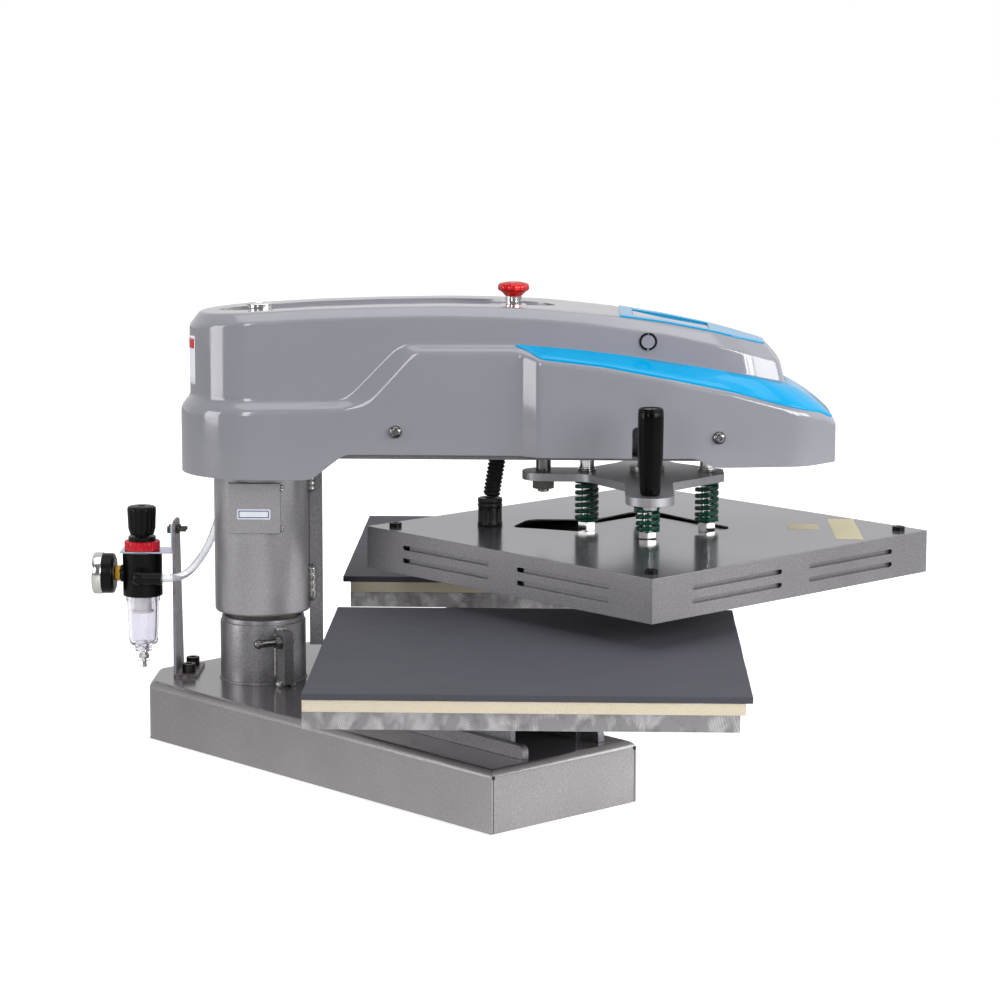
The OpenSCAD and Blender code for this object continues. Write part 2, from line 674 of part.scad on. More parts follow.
module guide_rod() color("#c6c4bf") translate([guide_x, 0, 0]) {
    rod(6, 258, spider_top);
    rod(guide_r, spider_top, 352);
    hex(19, spider_z - 10, spider_z);
}

module handle_bolt() color("#8d8c8a") translate([platen_x, handle_y, 0]) {
    rod(4, spider_z - 6, handle_top - 6);
    difference() {
        rod(8, handle_top - 6, handle_top - 1);
        hex(6, handle_top - 4, handle_top);
    }
    hex(13, spider_z - 6, spider_z);
}

module handle_grip() color("#141416") translate([platen_x, handle_y, 0]) {
    rotate_extrude() polygon([[4 + fit, spider_top + gap], [9.5, spider_top + gap], [10, spider_top + 2],
        [12.4, spider_top + 38], [12.6, handle_top - 2], [11.4, handle_top], [8 + gap, handle_top],
        [8 + gap, handle_top - 6 - gap], [4 + fit, handle_top - 6 - gap]]);
}

// -------------------------------------------------------- heat platen

// Frame of the heat platen, square to its sides
module on_platen() {
    translate([platen_x, 0, 0]) rotate([0, 0, 45]) children();
}

// Curved four-pointed opening in the roof of the platen cover, with a longer left lobe
aperture_outline = [[262, 10, 5, 4], [276, 52, 18, 6], [345, 52, 40, 6], [388, 108, 20, 6],
    [410, 108, 20, 6], [452, 52, 40, 6], [484, 14, 5, 4], [484, 0, 5, 4], [452, -38, 40, 6],
    [410, -75, 20, 6], [388, -75, 20, 6], [345, -30, 40, 6], [290, -10, 24, 6], [262, -2, 8, 5]];
// Side of the plate under the springs, and the distance of its four spacers from the middle
spring_plate_side = 138;
spacer_in = 59;
slot_rows = [15.5, 28.8];
slot_len = 128.5;
slot_mid = 84.5;
slot_h = 4.8;
slot_outline = [for (c = [[-1, -1], [1, -1], [1, 1], [-1, 1]])
    [c.x * slot_len / 2, c.y * slot_h / 2, slot_h / 2 - 0.05, 4]];
bolt_in = cover_side / 2 - 21;
bolt_spots = [for (s = [-1, 1], t = [-1, 1]) [s * bolt_in, t * bolt_in]];

module platen_cover() color("#9c9da0") {
    difference() {
        on_platen() difference() {
            translate([0, 0, cover_z]) linear_extrude(cover_top - cover_z)
                square(cover_side, center = true);
            translate([0, 0, cover_z - 1]) linear_extrude(cover_top - cover_sheet - cover_z + 1)
                square(cover_side - 2 * cover_sheet, center = true);
            for (a = [0:90:270], s = [-1, 1], h = slot_rows) rotate([0, 0, a])
                translate([cover_side / 2 - 4, s * slot_mid, cover_top - h]) rotate([90, 0, 90])
                    linear_extrude(5) polygon(rounded(slot_outline));
            for (p = bolt_spots) translate([p.x, p.y, 0]) rod(4 + fit, 210, 225);
        }
        translate([0, 0, 200]) linear_extrude(30) polygon(rounded(aperture_outline));
    }
    // Inner flanges that stand behind the slots, just short of one end of each
    on_platen() for (a = [0:90:270], s = [-1, 1]) rotate([0, 0, a])
        translate([cover_side / 2 - 5.5, s * slot_mid + 5, 201.5])
            cube([1.5, slot_len, 35], center = true);
}

module heating_plate() color("#b4b5b8") {
    on_platen() difference() {
        translate([0, 0, heat_z + heat_t / 2]) cube([heat_side, heat_side, heat_t], center = true);
        for (p = bolt_spots) translate([p.x, p.y, 0]) rod(4 + fit, 184, 193);
    }
}

module insulation_board() color("#e8e6df") {
    on_platen() difference() {
        translate([0, 0, heat_z + heat_t + 5]) cube([330, 330, 10], center = true);
        for (a = [0:90:270]) rotate([0, 0, a]) translate([spacer_in, 0, 0]) rod(8, 190, 210);
    }
}

// Plate seen through the opening, on four spacers that stand on the heating plate
module spring_plate() color("#b1b1b5") {
    difference() {
        on_platen() translate([0, 0, spring_plate_z + spring_plate_t / 2])
            cube([spring_plate_side, spring_plate_side, spring_plate_t], center = true);
        translate([platen_x, 0, 0]) {
            for (p = post_spots) translate([p.x, p.y, 0]) rod(stud_r + fit, spring_plate_z - 1, cover_top);
            box(-spring_plate_side, -50, 210, -70.6, 50, cover_top);
        }
    }
    on_platen() for (a = [0:90:270]) rotate([0, 0, a]) translate([spacer_in, 0, 0])
        rod(7.5, heat_z + heat_t, spring_plate_z);
}

// Four studs with their lower nuts, upper collars and heads
module spring_posts() color("#cdccc8") translate([platen_x, 0, 0]) {
    for (p = post_spots) translate([p.x, p.y, 0]) {
        rod(stud_r, spring_plate_z - 6, spider_top + gap);
        hex(17, spring_plate_z + spring_plate_t, spring_plate_z + spring_plate_t + nut_h);
        rod(9.5, spider_top + gap, spider_top + 4);
        rod(7.5, spider_top + 4, 306);
    }
}

module die_springs() color("#0d5c45") translate([platen_x, 0, 0]) {
    for (p = post_spots) translate([p.x, p.y, 0])
        tube_ring(12.5, stud_r + gap, spring_plate_z + spring_plate_t + nut_h, spider_z);
}

module corner_bolts() color("#2a2a2c") {
    on_platen() for (p = bolt_spots) translate([p.x, p.y, 0]) {
        rod(4, 186, cover_top);
        difference() {
            rod(6.5, cover_top, cover_top + 4);
            hex(5, cover_top + 2, cover_top + 5);
        }
    }
}

// Leaning conduit for the heater and sensor leads, and the upright socket that holds it
conduit_foot = [236.5, 12, cover_top];
conduit_lean = 9;
socket_h = 29;

module conduit() color("#1d1d1f") {
    translate(conduit_foot + [1, 0, socket_h]) rotate([0, conduit_lean, 0]) tube_ring(9, 6.5, 2, 92);
}

module conduit_connector() color("#2c2c2f") {
    translate(conduit_foot) {
        tube_ring(13, 6, 0, 12);
        tube_ring(12.2, 6, 12, socket_h);
    }
}

base_frame();
bottom_plate();
post_base_tube();
inner_post();
stop_lugs();
stop_screws();
platen_supports();
lower_plates();
platen_foams();
rubber_pads();
regulator_bracket();
bracket_screws();
regulator_clip();
regulator_body();
lock_ring();
filter_bowl();
filter_element();
gauge_case();
gauge_dial();
gauge_lens();
gauge_fitting();
elbow_fitting();
air_hose();
hose_swivel();
column_sleeve();
column_bearings();
stop_bar();
sleeve_patch();
arm_frame();
arm_cover();
side_trim();
control_panel();
display_window();
cover_screws();
column_cap();
button_collars();
air_cylinder();
solenoid_valve();
controller_box();
stop_knob();
start_button_front();
start_button_rear();
spider_plate();
piston_rod();
guide_rod();
handle_bolt();
handle_grip();
platen_cover();
heating_plate();
insulation_board();
spring_plate();
spring_posts();
die_springs();
corner_bolts();
conduit();
conduit_connector();
regulator_stem();
regulator_knob();
gauge_needle();
drain_valve();
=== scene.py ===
"""Looks of a two-station pneumatic swing-away heat press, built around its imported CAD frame.

Sizes are in millimetres, as in the CAD source, until put() turns them into Blender's metres.
"""
import json
import math

import bmesh
import bpy
import numpy as np
from mathutils import Matrix, Vector, noise


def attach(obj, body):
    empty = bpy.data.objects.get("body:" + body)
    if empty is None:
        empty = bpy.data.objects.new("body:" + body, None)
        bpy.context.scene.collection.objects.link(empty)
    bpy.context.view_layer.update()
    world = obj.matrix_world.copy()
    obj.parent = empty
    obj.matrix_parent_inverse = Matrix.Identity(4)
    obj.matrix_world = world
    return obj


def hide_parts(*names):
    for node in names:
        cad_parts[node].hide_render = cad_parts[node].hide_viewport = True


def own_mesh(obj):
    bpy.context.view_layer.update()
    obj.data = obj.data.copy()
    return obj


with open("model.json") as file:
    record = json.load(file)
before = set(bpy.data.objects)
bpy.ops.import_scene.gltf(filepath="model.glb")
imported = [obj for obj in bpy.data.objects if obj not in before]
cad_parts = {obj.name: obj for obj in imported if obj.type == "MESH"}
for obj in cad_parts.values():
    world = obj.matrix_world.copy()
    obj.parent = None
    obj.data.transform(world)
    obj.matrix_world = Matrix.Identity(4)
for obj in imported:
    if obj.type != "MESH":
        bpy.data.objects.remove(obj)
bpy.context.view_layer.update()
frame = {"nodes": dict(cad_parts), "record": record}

MM = 0.001
TAU = 2 * math.pi


# ------------------------------------------------------------------ camera

def make_camera():
    """The photograph's long-lens view of the front station."""
    data = bpy.data.cameras.new("camera")
    data.lens = 110.0
    data.sensor_width = 36.0
    data.clip_end = 50.0
    camera = bpy.data.objects.new("camera", data)
    bpy.context.scene.collection.objects.link(camera)
    pitch, turn, roll = math.radians(9.06), math.radians(1.61), math.radians(0.15)
    spin = Matrix.Rotation(turn, 4, "Z") @ Matrix.Rotation(math.pi / 2 - pitch, 4, "X")
    camera.matrix_world = Matrix.Translation((0.335, -3.124, 0.7467)) @ spin @ Matrix.Rotation(roll, 4, "Z")
    bpy.context.scene.camera = camera


# --------------------------------------------------------------- materials

def shade(color, share):
    """A colour made lighter or darker."""
    return tuple(c * share for c in color[:3]) + (1,)


def rgb(red, green, blue):
    """Screen colour 0-255 as the linear colour that a shader takes."""
    def linear(c):
        c /= 255
        return c / 12.92 if c <= 0.04045 else ((c + 0.055) / 1.055) ** 2.4
    return (linear(red), linear(green), linear(blue), 1.0)


class Look:
    """A Principled material whose colour, roughness and relief come from procedural nodes."""

    def __init__(self, name, slot, color, rough, metallic=0.0, **sockets):
        self.slot = slot
        self.material = bpy.data.materials.new(name)
        self.material.use_nodes = True
        self.tree = self.material.node_tree
        self.shader = self.tree.nodes["Principled BSDF"]
        self.shader.inputs["Base Color"].default_value = color
        self.shader.inputs["Roughness"].default_value = rough
        self.shader.inputs["Metallic"].default_value = metallic
        for socket, value in sockets.items():
            self.shader.inputs[socket.replace("_", " ")].default_value = value
        self.color = color
        self.rough = rough
        self.normal = None

    def node(self, kind, outlet, inputs=(), **options):
        made = self.tree.nodes.new("ShaderNode" + kind)
        for key, value in options.items():
            setattr(made, key, value)
        for key, value in dict(inputs).items():
            if isinstance(value, bpy.types.NodeSocket):
                self.tree.links.new(value, made.inputs[key])
            else:
                made.inputs[key].default_value = value
        return made.outputs[outlet]

    def place(self, stretch=(1, 1, 1), turn=(0, 0, 0)):
        """Object coordinates, stretched and turned."""
        raw = self.node("TexCoord", "Object")
        return self.node("Mapping", "Vector", {"Vector": raw, "Scale": stretch, "Rotation": turn})

    def noise(self, size, detail=3.0, rough=0.5, vector=None):
        """Cloudy noise with features of about size millimetres."""
        inputs = {"Vector": vector or self.place(), "Scale": 1 / (size * MM), "Detail": detail,
                  "Roughness": rough}
        return self.node("TexNoise", "Fac", inputs)

    def cells(self, size, outlet="Distance", vector=None):
        """Distance to the nearest of scattered points about size millimetres apart, or that point."""
        inputs = {"Vector": vector or self.place(), "Scale": 1 / (size * MM)}
        return self.node("TexVoronoi", outlet, inputs)

    def span(self, value, low, high, out_low=0.0, out_high=1.0):
        """Value between low and high, mapped to out_low..out_high and clamped."""
        return self.node("MapRange", "Result", {"Value": value, "From Min": low, "From Max": high,
                                                "To Min": out_low, "To Max": out_high})

    def math(self, operation, a, b=0.0):
        made = self.tree.nodes.new("ShaderNodeMath")
        made.operation = operation
        for socket, value in zip(made.inputs, (a, b)):
            if isinstance(value, bpy.types.NodeSocket):
                self.tree.links.new(value, socket)
            else:
                socket.default_value = value
        return made.outputs[0]

    def tint(self, share, color):
        """Mixes color over what is there by share, a socket."""
        made = self.tree.nodes.new("ShaderNodeMix")
        made.data_type = "RGBA"
        self.tree.links.new(share, made.inputs[0])
        if isinstance(self.color, bpy.types.NodeSocket):
            self.tree.links.new(self.color, made.inputs[6])
        else:
            made.inputs[6].default_value = self.color
        made.inputs[7].default_value = color
        self.color = made.outputs[2]
        self.tree.links.new(self.color, self.shader.inputs["Base Color"])
        return self

    def roughen(self, share, amount):
        """Adds amount to the roughness where share, a socket, is 1."""
        self.rough = self.math("ADD", self.math("MULTIPLY", share, amount), self.rough)
        self.tree.links.new(self.rough, self.shader.inputs["Roughness"])
        return self

    def relief(self, height, depth, strength=1.0):
        """Bumps the surface by depth millimetres where height, a socket, goes from 0 to 1."""
        inputs = {"Height": height, "Distance": depth * MM, "Strength": strength}
        if self.normal:
            inputs["Normal"] = self.normal
        self.normal = self.node("Bump", "Normal", inputs)
        self.tree.links.new(self.normal, self.shader.inputs["Normal"])
        return self

    def edges(self, low=0.52, high=0.6):
        """Share that is 1 on worn outer edges."""
        point = self.node("NewGeometry", "Pointiness")
        return self.span(point, low, high)


def hammertone(name, slot, color, flake, grain, rough, metallic, top=None, painted_top_sheen=None):
    """Metallic paint with a fine grain; faces that look straight up may have their own roughness, top, and
    a tone of their own, the last argument, which is painted sheen: how the paint looks there in grazing
    light, without its flakes."""
    look = Look(name, slot, color, rough, metallic, Coat_Weight=0.12, Coat_Roughness=0.3)
    up = look.node("SeparateXYZ", "Z", {0: look.node("NewGeometry", "Normal")})
    flat = look.span(up, 0.9, 0.995, 0, 1 if top else 0)
    side = look.math("SUBTRACT", 1.0, flat)
    grit = look.math("MULTIPLY", look.span(look.noise(grain, 3, 0.7), 0.40, 0.66, 0, 0.7), side)
    look.tint(grit, flake)
    look.tint(look.span(look.noise(90, 4), 0.4, 0.75, 0, 0.35), shade(color, 0.8))
    look.roughen(look.noise(30, 4), 0.06)
    # Up-facing faces: a smoother finish, and over the grain a tone that is painted sheen for grazing light
    if top:
        look.roughen(flat, top - rough)
        look.tint(look.math("MULTIPLY", flat, 0.8), painted_top_sheen)
    look.relief(look.noise(grain * 1.3, 3), 0.03, look.math("MULTIPLY", side, 0.9))
    return look


def gloss_paint(name, slot, color, rough=0.1, coat=0.4, specular=0.5):
    look = Look(name, slot, color, rough, Coat_Weight=coat, Coat_Roughness=0.04,
                Specular_IOR_Level=specular)
    look.tint(look.span(look.noise(160, 3), 0.4, 0.7, 0, 0.22), shade(color, 0.86))
    look.roughen(look.span(look.noise(45, 5, 0.65), 0.45, 0.75), 0.10)
    look.relief(look.noise(7, 2), 0.012)
    look.relief(look.noise(70, 2), 0.10)
    return look


def bright_metal(name, slot, color, rough=0.14, brushed=(1, 1, 1), grain=0.8, depth=0.006):
    look = Look(name, slot, color, rough, 1.0)
    scratch = look.noise(grain, 4, 0.7, vector=look.place(stretch=brushed))
    look.roughen(scratch, 0.14)
    look.relief(scratch, depth)
    look.tint(look.span(look.noise(14, 4), 0.5, 0.8, 0, 0.4), shade(color, 0.62))
    return look


def milled_aluminium():
    """Sawn and face-milled plate edge: fans of fine arcs left by the cutter, brighter in patches."""
    look = Look("milled_aluminium", "aluminium", rgb(150, 148, 150), 0.3, 1.0)
    place = look.place()
    cell = look.cells(75, outlet="Position", vector=place)
    centre = look.node("VectorMath", "Vector", {0: cell, 1: (0.06, 0.06, 0.03)}, operation="ADD")
    gap = look.node("VectorMath", "Vector", {0: place, 1: centre}, operation="SUBTRACT")
    away = look.node("VectorMath", "Value", {0: gap}, operation="LENGTH")
    radians_per_metre = 4600.0
    arcs = look.math("SINE", look.math("MULTIPLY", away, radians_per_metre))
    slant = look.place(turn=(0, 0, 0.5), stretch=(1, 1, 0.6))
    patch = look.span(look.noise(17, 2, vector=slant), 0.47, 0.62)
    cut = look.math("MULTIPLY", look.span(arcs, -1, 1), patch)
    look.tint(look.math("MULTIPLY", patch, 0.55), rgb(190, 188, 190))
    look.tint(look.math("MULTIPLY", cut, 0.5), rgb(226, 224, 226))
    look.tint(look.span(look.noise(24, 5, 0.65), 0.5, 0.72, 0, 0.75), rgb(92, 90, 92))
    look.roughen(look.noise(6, 4), 0.22)
    look.relief(cut, 0.02)
    look.relief(look.noise(0.6, 3, 0.7, vector=look.place(stretch=(1, 1, 6))), 0.02)
    return look


def foam_look():
    look = Look("foam", "foam", rgb(214, 203, 181), 0.9)
    look.tint(look.span(look.cells(1.1), 0.05, 0.35, 1, 0), rgb(192, 178, 150))
    look.tint(look.span(look.noise(38, 4), 0.5, 0.8, 0, 0.5), rgb(224, 213, 190))
    look.relief(look.cells(1.1), 0.25)
    return look


def rubber_look():
    look = Look("rubber", "rubber", rgb(62, 62, 71), 0.6)
    look.tint(look.span(look.noise(0.9, 2), 0.55, 0.72, 0, 0.6), rgb(82, 81, 91))
    look.tint(look.span(look.noise(120, 4), 0.45, 0.75, 0, 0.5), rgb(56, 56, 64))
    look.roughen(look.noise(35, 4), 0.15)
    look.relief(look.noise(0.8, 2), 0.03)
    return look


def rusty_strip():
    """Plain strip steel, smooth on its faces and rusted along its cut edges."""
    look = Look("rusty_strip", "dark_steel", rgb(150, 147, 156), 0.34, 0.9)
    blotches = look.span(look.noise(3.5, 5, 0.7), 0.35, 0.6, 0, 0.85)
    rust = look.math("MULTIPLY", look.edges(0.505, 0.56), blotches)
    look.tint(rust, rgb(84, 64, 52))
    look.tint(look.span(look.noise(16, 5, 0.65), 0.58, 0.75, 0, 0.6), rgb(92, 84, 80))
    look.roughen(look.noise(5, 4), 0.2)
    look.relief(look.noise(1.2, 4), 0.03)
    return look


def galvanised():
    """Zinc plate with the pale violet and blue bloom of its passivation."""
    look = Look("galvanised", "chrome", rgb(206, 208, 216), 0.22, 1.0)
    drift = look.noise(22, 2, vector=look.place(stretch=(1, 1, 2)))
    look.tint(look.span(drift, 0.42, 0.5, 0, 0.75), rgb(178, 214, 232))
    look.tint(look.span(drift, 0.53, 0.62, 0, 0.75), rgb(214, 190, 230))
    look.relief(look.noise(0.8, 3), 0.01)
    return look


def moulded(name, slot, color, rough=0.4, grain=0.9, depth=0.03, **sockets):
    look = Look(name, slot, color, rough, **sockets)
    look.tint(look.span(look.noise(14, 4), 0.5, 0.8, 0, 0.35),
              tuple(min(1, c * 1.35 + 0.001) for c in color[:3]) + (1,))
    look.roughen(look.noise(9, 4), 0.16)
    look.relief(look.noise(grain, 3), depth)
    return look


def clear_plastic(name, color, rough=0.04, transmission=0.92):
    look = Look(name, "clear_plastic", color, rough, Transmission_Weight=transmission, IOR=1.45)
    look.tint(look.span(look.noise(9, 3), 0.5, 0.8, 0, 0.3), shade(color, 0.93))
    look.roughen(look.span(look.noise(6, 4), 0.5, 0.8), 0.08)
    look.relief(look.noise(5, 2), 0.04)
    return look


def weld_look():
    look = Look("weld", "hammer_paint", rgb(168, 167, 165), 0.3, 0.85)
    look.tint(look.span(look.noise(2.2, 4), 0.45, 0.65, 0, 0.7), rgb(112, 110, 108))
    look.relief(look.noise(1.6, 4), 0.25)
    return look


def make_looks():
    grey = rgb(136, 136, 144)
    return {
        "frame_paint": hammertone("frame_paint", "hammer_paint", rgb(112, 110, 114), rgb(158, 156, 160),
                                  1.4, 0.34, 0.6),
        "sleeve_paint": hammertone("sleeve_paint", "hammer_paint", rgb(150, 148, 152), rgb(186, 184, 188),
                                   1.3, 0.33, 0.6),
        # The last colour of base_paint and of platen_paint is the painted sheen of their up-facing faces
        "base_paint": hammertone("base_paint", "hammer_paint", rgb(134, 131, 133), rgb(168, 164, 163), 1.3,
                                 0.3, 0.68, 0.15, rgb(134, 131, 135)),
        "platen_paint": hammertone("platen_paint", "platen_metal", rgb(120, 118, 122), rgb(160, 158, 162),
                                   1.4, 0.36, 0.72, 0.12, rgb(124, 121, 130)),
        "cover": gloss_paint("cover", "cover_grey", grey),
        "cyan": gloss_paint("cyan", "cyan", rgb(0, 148, 200), 0.07, 0.1, 0.22),
        "chrome": bright_metal("chrome", "chrome", rgb(224, 222, 219), 0.07),
        "steel": bright_metal("steel", "steel", rgb(170, 169, 168), 0.24),
        "dark_steel": bright_metal("dark_steel", "dark_steel", rgb(78, 74, 70), 0.34),
        "spider_metal": bright_metal("spider_metal", "aluminium", rgb(166, 166, 171), 0.34, (1, 8, 1), 1.2,
                                     0.01),
        "brass": bright_metal("brass", "brass", rgb(196, 150, 60), 0.2),
        "bronze": bright_metal("bronze", "bronze", rgb(182, 140, 84), 0.3),
        "guide_steel": bright_metal("guide_steel", "steel", rgb(120, 118, 118), 0.16),
        "milled": milled_aluminium(),
        "foam": foam_look(),
        "rubber": rubber_look(),
        "rusty": rusty_strip(),
        "zinc": galvanised(),
        "weld": weld_look(),
        "black": moulded("black", "black_plastic", rgb(9, 9, 10), 0.22, Specular_IOR_Level=0.16),
        "satin_black": moulded("satin_black", "black_plastic", rgb(20, 20, 22), 0.36, 1.4, 0.05,
                               Specular_IOR_Level=0.3),
        "grip": moulded("grip", "black_plastic", rgb(4, 4, 5), 0.1, 3.0, 0.01, Specular_IOR_Level=0.1),
        "red": moulded("red", "red_plastic", rgb(190, 12, 34), 0.25, 2.0, 0.02, Specular_IOR_Level=0.3),
        "white": moulded("white", "white_plastic", rgb(238, 236, 230), 0.55, 1.0, 0.05),
        "needle_red": moulded("needle_red", "red_plastic", rgb(200, 30, 36), 0.4),
        "anodised": moulded("anodised", "red_metal", rgb(196, 12, 14), 0.2, 2.0, 0.01, Metallic=0.5,
                            Coat_Weight=0.2),
        "enamel": moulded("enamel", "spring_green", rgb(0, 58, 46), 0.2, 3.0, 0.03,
                          Specular_IOR_Level=0.22),
        # Dark fibre board; the same look paints the shade in the base's open seams
        "fibre_and_seam_shade": moulded("fibre_and_seam_shade", "insulation", rgb(34, 33, 33), 0.9, 0.6, 0.15),
        "board": moulded("board", "board_green", rgb(70, 88, 76), 0.5),
        "glass": moulded("glass", "screen", rgb(120, 124, 140), 0.05, 40, 0.02, Coat_Weight=1.0),
        "bowl": clear_plastic("bowl", rgb(232, 230, 238)),
        "hose": clear_plastic("hose", rgb(232, 234, 240), 0.12, 0.75),
        "lens": clear_plastic("lens", rgb(244, 247, 249)),
        "yellow": moulded("yellow", "cyan", rgb(192, 184, 148), 0.35, 3.0, 0.01),
        "paper": moulded("paper", "white_plastic", rgb(226, 229, 236), 0.4, 3.0, 0.01),
        "ink": moulded("ink", "cyan", rgb(58, 78, 128), 0.4, 3.0, 0.01),
    }


# ----------------------------------------------------------- mesh builders

def put(name, bm, body, look, stands_for=(), ease=0.0, steps=2, limit=30, sharp=None, extra=None):
    """Makes a piece from a bmesh in millimetres, with its edges eased by a bevel of ease millimetres.

    A piece stands for the CAD node of its own name, if there is one, unless stands_for says otherwise.
    ease may also be a function of an edge's middle that gives its own bevel. Where nothing is eased,
    edges sharper than sharp degrees are shaded hard."""
    stands_for = stands_for or [name] * (name in frame["nodes"])
    bmesh.ops.remove_doubles(bm, verts=bm.verts, dist=0.002)
    bmesh.ops.recalc_face_normals(bm, faces=bm.faces)
    widest = ease
    if callable(ease):
        weight = bm.edges.layers.float.new("bevel_weight_edge")
        least = math.radians(limit)
        corners = [e for e in bm.edges if len(e.link_faces) == 2 and e.calc_face_angle() > least]
        widths = [ease((e.verts[0].co + e.verts[1].co) / 2) for e in corners]
        widest = max(widths)
        for edge, width in zip(corners, widths):
            edge[weight] = width / widest
    for face in bm.faces:
        face.smooth = True
    if sharp:
        for edge in bm.edges:
            edge.smooth = len(edge.link_faces) == 2 and edge.calc_face_angle() < math.radians(sharp)
    bmesh.ops.transform(bm, matrix=Matrix.Scale(MM, 4), verts=bm.verts)
    mesh = bpy.data.meshes.new(name)
    bm.to_mesh(mesh)
    bm.free()
    mesh.materials.append(LOOKS[look].material)
    piece = bpy.data.objects.new(name, mesh)
    bpy.context.scene.collection.objects.link(piece)
    if extra:
        extra(piece)
    if widest:
        bevel = piece.modifiers.new("ease", "BEVEL")
        bevel.width = widest * MM
        bevel.segments = steps
        bevel.limit_method = "WEIGHT" if callable(ease) else "ANGLE"
        bevel.angle_limit = math.radians(limit)
        bevel.miter_outer = "MITER_ARC"
        normals = piece.modifiers.new("normals", "WEIGHTED_NORMAL")
        normals.weight = 80
    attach(piece, body)
    if stands_for:
        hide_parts(*stands_for)
    return piece


def from_node(node):
    """A CAD node's solids in millimetres, with its coplanar triangles joined into whole faces."""
    bm = bmesh.new()
    bm.from_mesh(frame["nodes"][node].data)
    bmesh.ops.transform(bm, matrix=Matrix.Scale(1 / MM, 4), verts=bm.verts)
    bmesh.ops.remove_doubles(bm, verts=bm.verts, dist=0.002)
    bmesh.ops.dissolve_limit(bm, angle_limit=math.radians(0.4), verts=bm.verts, edges=bm.edges)
    return bm


def aimed(at, along):
    """Matrix that puts a shape's origin at a point and its Z axis along a direction."""
    return Matrix.Translation(at) @ Vector(along).to_track_quat("Z", "Y").to_matrix().to_4x4()


def loft(rings, bm=None, loop=False):
    """Skin over rings of equally many points; a loop of rings has no ends."""
    bm = bm or bmesh.new()
    made = [[bm.verts.new(p) for p in ring] for ring in rings]
    count = len(made[0])
    for a, b in zip(made, made[1:] + (made[:1] if loop else [])):
        for k in range(count):
            bm.faces.new((a[k], a[(k + 1) % count], b[(k + 1) % count], b[k]))
    if not loop:
        bm.faces.new(made[0])
        bm.faces.new(made[-1])
    return bm


def turned(profile, at=(0, 0, 0), along=(0, 0, 1), steps=96, closed=True, bm=None, swell=None):
    """Solid of revolution from (radius, height) points, which swell(angle, radius, height) may widen."""
    bm = bm or bmesh.new()
    place = aimed(at, along)
    rings = []
    for radius, height in profile:
        if radius < 1e-6:
            rings.append([bm.verts.new(place @ Vector((0, 0, height)))])
            continue
        ring = []
        for k in range(steps):
            turn = TAU * k / steps
            r = swell(turn, radius, height) if swell else radius
            ring.append(bm.verts.new(place @ Vector((r * math.cos(turn), r * math.sin(turn), height))))
        rings.append(ring)
    pairs = list(zip(rings, rings[1:])) + ([(rings[-1], rings[0])] if closed else [])
    for a, b in pairs:
        if len(a) == len(b) == 1:
            continue
        for k in range(steps):
            corners = []
            for vert in (a[k % len(a)], a[(k + 1) % len(a)], b[(k + 1) % len(b)], b[k % len(b)]):
                if vert not in corners:
                    corners.append(vert)
            bm.faces.new(corners)
    return bm


def lathe(name, body, look, profile, *place, sharp=40, **options):
    """A piece that is one solid of revolution."""
    return put(name, turned(profile, *place, **options), body, look, sharp=sharp)


def corner_arc(a, b, c, radius, steps):
    """Points that round the corner b between a and c; a straight corner gives points along the line."""
    a, b, c = (np.array(p[:2], float) for p in (a, b, c))
    u = (a - b) / np.linalg.norm(a - b)
    w = (c - b) / np.linalg.norm(c - b)
    if np.linalg.norm(u + w) < 1e-3:
        return [tuple(b + w * radius * (2 * k / steps - 1)) for k in range(steps + 1)]
    half = math.acos(np.clip(u @ w, -1, 1)) / 2
    middle = b + (u + w) / np.linalg.norm(u + w) * radius / math.sin(half)
    start, stop = b + u * radius / math.tan(half), b + w * radius / math.tan(half)
    first = math.atan2(*(start - middle)[::-1])
    turn = (math.atan2(*(stop - middle)[::-1]) - first + 3 * math.pi) % TAU - math.pi
    return [(middle[0] + radius * math.cos(first + turn * k / steps),
             middle[1] + radius * math.sin(first + turn * k / steps)) for k in range(steps + 1)]


def rounded(points, closed=True):
    """Outline whose corners (x, y, radius, steps) are rounded; a corner (x, y) is kept."""
    out = []
    for i, p in enumerate(points):
        if len(p) == 2 or (not closed and i in (0, len(points) - 1)):
            out.append(tuple(p[:2]))
        else:
            out += corner_arc(points[i - 1], p, points[(i + 1) % len(points)], p[2], p[3])
    return out


def round_box(half_x, half_y, radius, x=0, y=0):
    """Outline of a rectangle about (x, y) with its corners rounded."""
    corners = ((-1, -1), (1, -1), (1, 1), (-1, 1))
    return rounded([(x + half_x * sx, y + half_y * sy, radius, 4) for sx, sy in corners])


def bar(lo, hi, bm=None, place=None):
    """Box between two corners, for trimming cutters and plates."""
    (x0, y0, z0), (x1, y1, z1) = lo, hi
    rings = [[(x0, y0, z), (x1, y0, z), (x1, y1, z), (x0, y1, z)] for z in (z0, z1)]
    if place:
        rings = [[place @ Vector(p) for p in ring] for ring in rings]
    return loft(rings, bm)


def prism(outline, z0, z1, bm=None, place=None):
    place = place or Matrix.Identity(4)
    return loft([[place @ Vector((x, y, z)) for x, y in outline] for z in (z0, z1)], bm)


